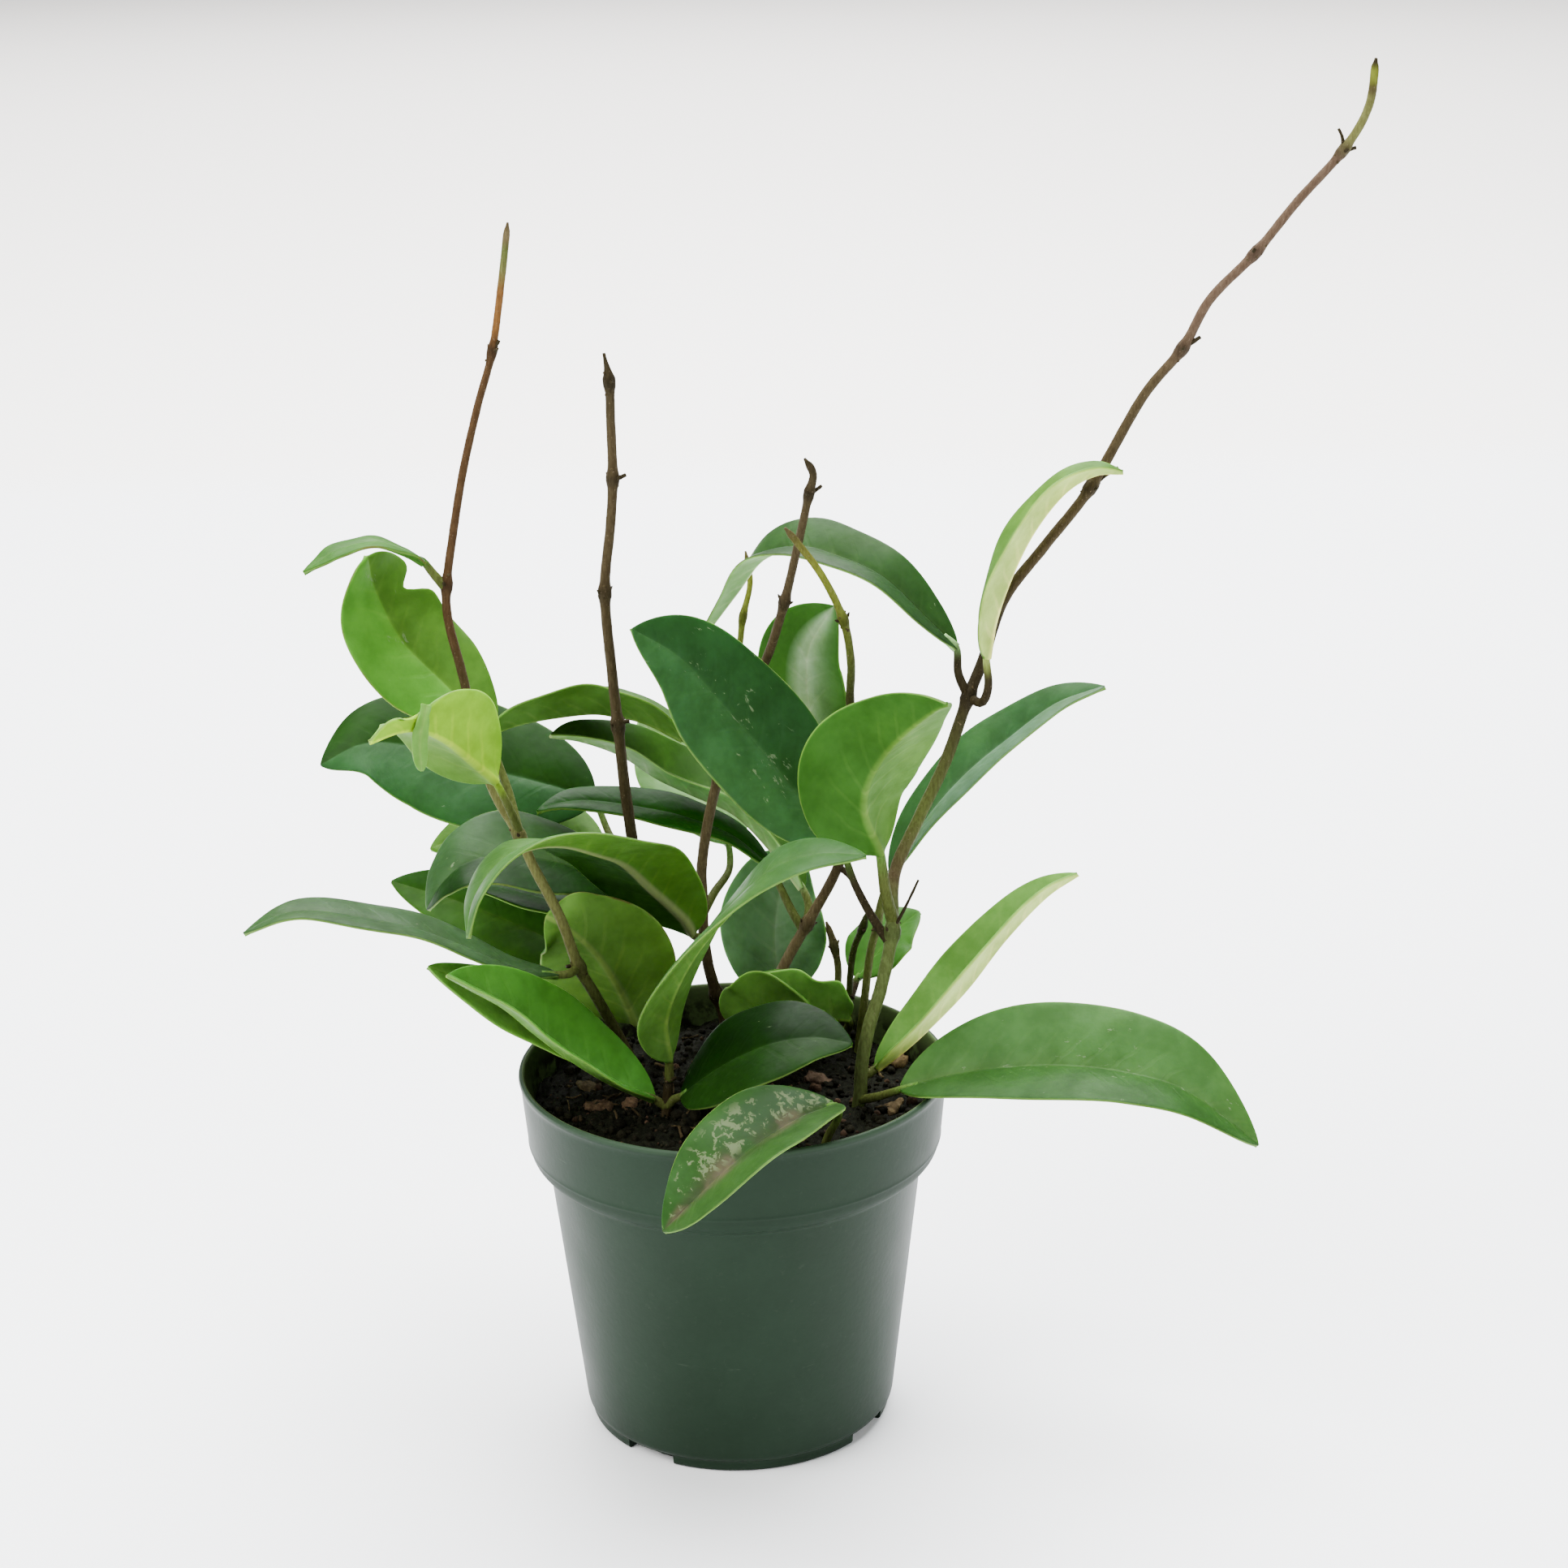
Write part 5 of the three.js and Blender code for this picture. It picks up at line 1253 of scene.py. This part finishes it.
def veined(skin, place, reach, face, slant):
    """A skin with faint slanting side veins, and the veins alone."""
    turns = (place.noise("vein drift") * VEIN_DRIFT + slant) * (2 * math.pi / (VEIN_SPACING * MM))
    vein = skin.shader.math("SINE", turns).stretch(0.7, 1) * reach.stretch(0.8, 0.2)
    return skin.tint(vein * (face * 0.14 + 0.12), "vein tint"), vein


def ribbed(skin, reach_m, along, face, pale_rib):
    """A skin with a light midrib, which is wide and pale below on some leaves."""
    across_rib = reach_m / (along * -0.0006 + 0.0011)
    skin = skin.tint(across_rib.stretch(1, 0.2) * (face * 0.5 + 0.15), "rib tint")
    return skin.mix(across_rib.stretch(1.7, 0.6) * (face * pale_rib) * 0.65, "pale rib")


def flecked(skin, place, long_place, reach, upper, flecks):
    """A skin with pale flecks above, more of them near the midrib and in patches, and the flecks alone."""
    line = flecks * -0.11 + 0.79 - reach.stretch(0.8, 0.05, 0, 0.05)
    line = line - place.noise("fleck patch").stretch(0.5, 0.68, 0, 0.12)
    speckled = (long_place.noise("fleck") - line).stretch(-0.02, 0.05)
    speckled = speckled * flecks.stretch(0, 0.1) * (upper * flecks.stretch(1.1, 0.7))
    return skin.mix(speckled * 0.6, "fleck"), speckled


def silver_mottled(skin, place, across, along, amount):
    """A skin with the dull patch, bruised midrib and silver net of a flecked leaf, and the net alone."""
    heavy = amount.stretch(0.9, 1.2)
    half = across.stretch(0.02, 0.2) * across.stretch(0.95, 0.6)
    skin = skin.mix(half * along.stretch(0.75, 0.3) * heavy * 0.7, "dull leaf")
    bruise = place.noise("bruise")
    middle = abs(across).stretch(0.42, 0.05) * along.stretch(0.02, 0.2) * heavy
    skin = skin.mix(middle * bruise.stretch(0.25, 0.45) * 0.8, "bruise")
    skin = skin.mix(middle * bruise.stretch(0.47, 0.6) * 0.8, "scar")
    level = place.noise("net cloud") * -0.4 + 0.75
    silver = (place.noise("net") - level).stretch(-0.02, 0.05) * half * heavy
    return skin.mix(silver * 0.75, "silver net"), silver


def leaf_material(slot):
    """A waxy leaf: flecked above, paler below, with a light midrib, a painted sheen along the midrib above,
    faint veins and a thin light margin.
    """
    shader = Shader(slot)
    across_m, along_m, seed = shader.attribute("leaf_map", "Vector").split()
    across, along, face = shader.attribute("leaf_form", "Vector").split()
    flecks, brown, pale_rib = shader.attribute("leaf_marks", "Vector").split()
    reach_m = abs(across_m)
    reach = abs(across)
    upper = 1 - face
    place = shader.join(across_m, along_m, seed)
    long_place = shader.join(across_m, along_m * 0.45, seed)
    mottle = place.noise("leaf mottle")

    skin = shader.attribute("upper_skin").mix(face, shader.attribute("under_skin"))
    skin = skin.tint(mottle.stretch(0.3, 0.7), "leaf tint")
    skin = skin.tint(place.noise("leaf warmth").stretch(0.45, 0.75, 0, 0.6), "warm tint")
    skin, vein = veined(skin, place, reach, face, reach_m * -VEIN_SLANT + along_m)
    # Painted sheen: a paler band along the midrib of the upper face
    skin = skin.tint(reach.stretch(0.32, 0, 0, 0.22) * upper, "midrib sheen tint")
    skin = ribbed(skin, reach_m, along, face, pale_rib)
    skin, speckled = flecked(skin, place, long_place, reach, upper, flecks)
    skin, silver = silver_mottled(skin, place, across, along, upper * flecks)
    skin = skin.mix(reach.stretch(0.97, 0.998) * 0.35, "margin")
    skin = skin.mix(place.noise("burn").stretch(0.42, 0.6) * brown * reach.stretch(0.965, 0.995), "burnt")

    height = vein * -0.4 + place.noise("leaf grain") + (speckled + silver) * 0.2
    height = place.noise("leaf relief") * 7 + height
    return shader.finish(
        Base_Color=skin,
        Roughness=face * 0.12 + mottle.stretch(0.3, 0.7, 0.38, 0.48),
        Normal=height.bump(0.3, 0.0003),
        Subsurface_Weight=0.3,
        Subsurface_Radius=(0.6, 1, 0.2),
        Subsurface_Scale=0.0022,
        Specular_IOR_Level=0.045,
    )


def stem_material():
    """Smooth green to brown bark with fine lengthwise streaks and specks."""
    shader = Shader("stem")
    place = shader.object_place()
    x, y, z = place.split()
    streaks = shader.join(x, y, z * 0.25).noise("bark streak")
    skin = shader.attribute("skin").tint(streaks.stretch(0.35, 0.65, 0, 0.6), "streak tint")
    return shader.finish(
        Base_Color=skin.mix(place.noise("bark speck").stretch(0.66, 0.72) * 0.4, "bark speck"),
        Roughness=streaks.stretch(0.3, 0.7, 0.5, 0.68),
        Normal=streaks.bump(0.7, 0.0004),
        Specular_IOR_Level=0.05,
    )


def pot_material():
    """Satin dark green plastic, a little dusty and scuffed, with a painted highlight along the top of the
    rim, painted shade on the ledge under the collar, and a paler olive inner wall that is painted light, with
    dirt on it.
    """
    shader = Shader("pot")
    place = shader.object_place()
    x, y, z = place.split()
    height = z / MM
    cloud = place.noise("plastic cloud")
    skin = shader.mix(cloud.stretch(0.35, 0.7), "plastic", "pale plastic")
    skin = skin.mix(place.noise("dust").stretch(0.58, 0.78, 0, 0.25), "dust")
    skin = skin.mix(shader.join(x, y, z * 9).noise("scuff").stretch(0.68, 0.74, 0, 0.25), "scuff")
    # Painted highlight: the top of the rim is paler, where light falls on it
    skin = skin.mix(height.stretch(POT_HEIGHT - 1.5, POT_HEIGHT - 0.5, 0, 0.5), "rim")
    # Painted shadow on the downward-facing ledge under the collar; the same mask makes the ledge a little
    # rougher
    shade = height.stretch(SHOULDER_HEIGHT - 0.2, SHOULDER_HEIGHT + 0.6)
    shade = shade * height.stretch(COLLAR_FOOT_HEIGHT + 0.1, COLLAR_FOOT_HEIGHT - 0.7)
    skin = skin.mix(shade * 0.2, "painted ledge shadow")
    radius = shader.math("SQRT", x * x + y * y) / MM
    flare = (height - COLLAR_FOOT_HEIGHT) * COLLAR_FLARE
    inner_wall = shader.math("LESS_THAN", radius - flare, MID_WALL_RADIUS)
    inner_wall = inner_wall * shader.math("GREATER_THAN", height, COLLAR_FOOT_HEIGHT)
    # Painted light: the inner wall above the collar's foot is paler and olive, as if lit
    skin = skin.mix(inner_wall * 0.85, "lit inner wall")
    dirt = place.noise("dirt").stretch(0.4, 0.55) * height.stretch(POT_HEIGHT - 0.5, POT_HEIGHT - 8)
    return shader.finish(
        Base_Color=skin.mix(inner_wall * dirt, "dirt"),
        Roughness=shade * 0.12 + cloud.stretch(0.3, 0.7, 0.42, 0.5),
        Normal=place.noise("plastic grain").bump(0.12, 0.0003),
        Specular_IOR_Level=0.09,
        Specular_Tint="plastic shine",
    )


def soil_material():
    """Dark moist peat with pale fibres."""
    shader = Shader("soil")
    place = shader.object_place()
    grain = place.noise("peat")
    skin = shader.attribute("skin").tint(grain.stretch(0.3, 0.7, 0, 0.8), "peat tint")
    return shader.finish(
        Base_Color=skin.mix(place.noise("fibre").stretch(0.64, 0.72, 0, 0.25), "fibre"),
        Roughness=grain.stretch(0.3, 0.7, 0.6, 0.9),
        Normal=grain.bump(0.8, 0.0008),
        Specular_IOR_Level=0.04,
    )


def floor_material():
    """A plain pale floor, a little warmer far behind the pot."""
    shader = Shader("floor")
    place = shader.object_place()
    skin = shader.mix(place.noise("floor cloud"), "floor", "pale floor")
    skin = skin.mix(place.split()[1].stretch(1.05, 1.2), "far floor")
    return shader.finish(Base_Color=skin, Roughness=0.55, Specular_IOR_Level=0.2)


# Studio
def build_floor():
    far = FLOOR_REACH
    mesh = bpy.data.meshes.new("floor")
    mesh.from_pydata([(-far, -far, 0), (far, -far, 0), (far, far, 0), (-far, far, 0)], [], [(0, 1, 2, 3)])
    mesh.materials.append(floor_material())
    add_object("floor", mesh)


def build_lights():
    for name, place, target, size, power, colour in LAMPS:
        light = bpy.data.lights.new(name, "AREA")
        light.size = size
        light.energy = power
        light.color = colour
        lamp = add_object(name, light)
        lamp.location = place
        lamp.rotation_euler = (Vector(target) - Vector(place)).to_track_quat("-Z", "Y").to_euler()
    world = bpy.data.worlds.new("studio")
    world.use_nodes = True
    background = world.node_tree.nodes["Background"]
    background.inputs["Color"].default_value = WORLD_COLOUR
    background.inputs["Strength"].default_value = WORLD_STRENGTH
    bpy.context.scene.world = world


def build_camera():
    pitch, yaw, roll = (math.radians(angle) for angle in (CAMERA_PITCH, CAMERA_YAW, CAMERA_ROLL))
    ahead = Vector((math.sin(yaw) * math.cos(pitch), math.cos(yaw) * math.cos(pitch), -math.sin(pitch)))
    level_right = ahead.cross(Vector((0, 0, 1))).normalized()
    level_up = level_right.cross(ahead)
    right = level_right * math.cos(roll) + level_up * math.sin(roll)
    up = level_up * math.cos(roll) - level_right * math.sin(roll)
    lens = bpy.data.cameras.new("camera")
    lens.sensor_width = SENSOR_WIDTH
    lens.lens = FOCAL_PIXELS / PHOTO_PIXELS * SENSOR_WIDTH
    camera = add_object("camera", lens)
    turn = Matrix((right, up, -ahead)).transposed().to_4x4()
    camera.matrix_world = Matrix.Translation(Vector(CAMERA_PLACE) * MM) @ turn
    bpy.context.scene.camera = camera


bark = stem_material()
build_pot(pot_material())
build_soil(soil_material())
build_stems(bark)
build_leaves({slot: leaf_material(slot) for slot in ("dark_leaf", "mid_leaf", "pale_leaf")}, bark)
build_floor()
build_lights()
build_camera()
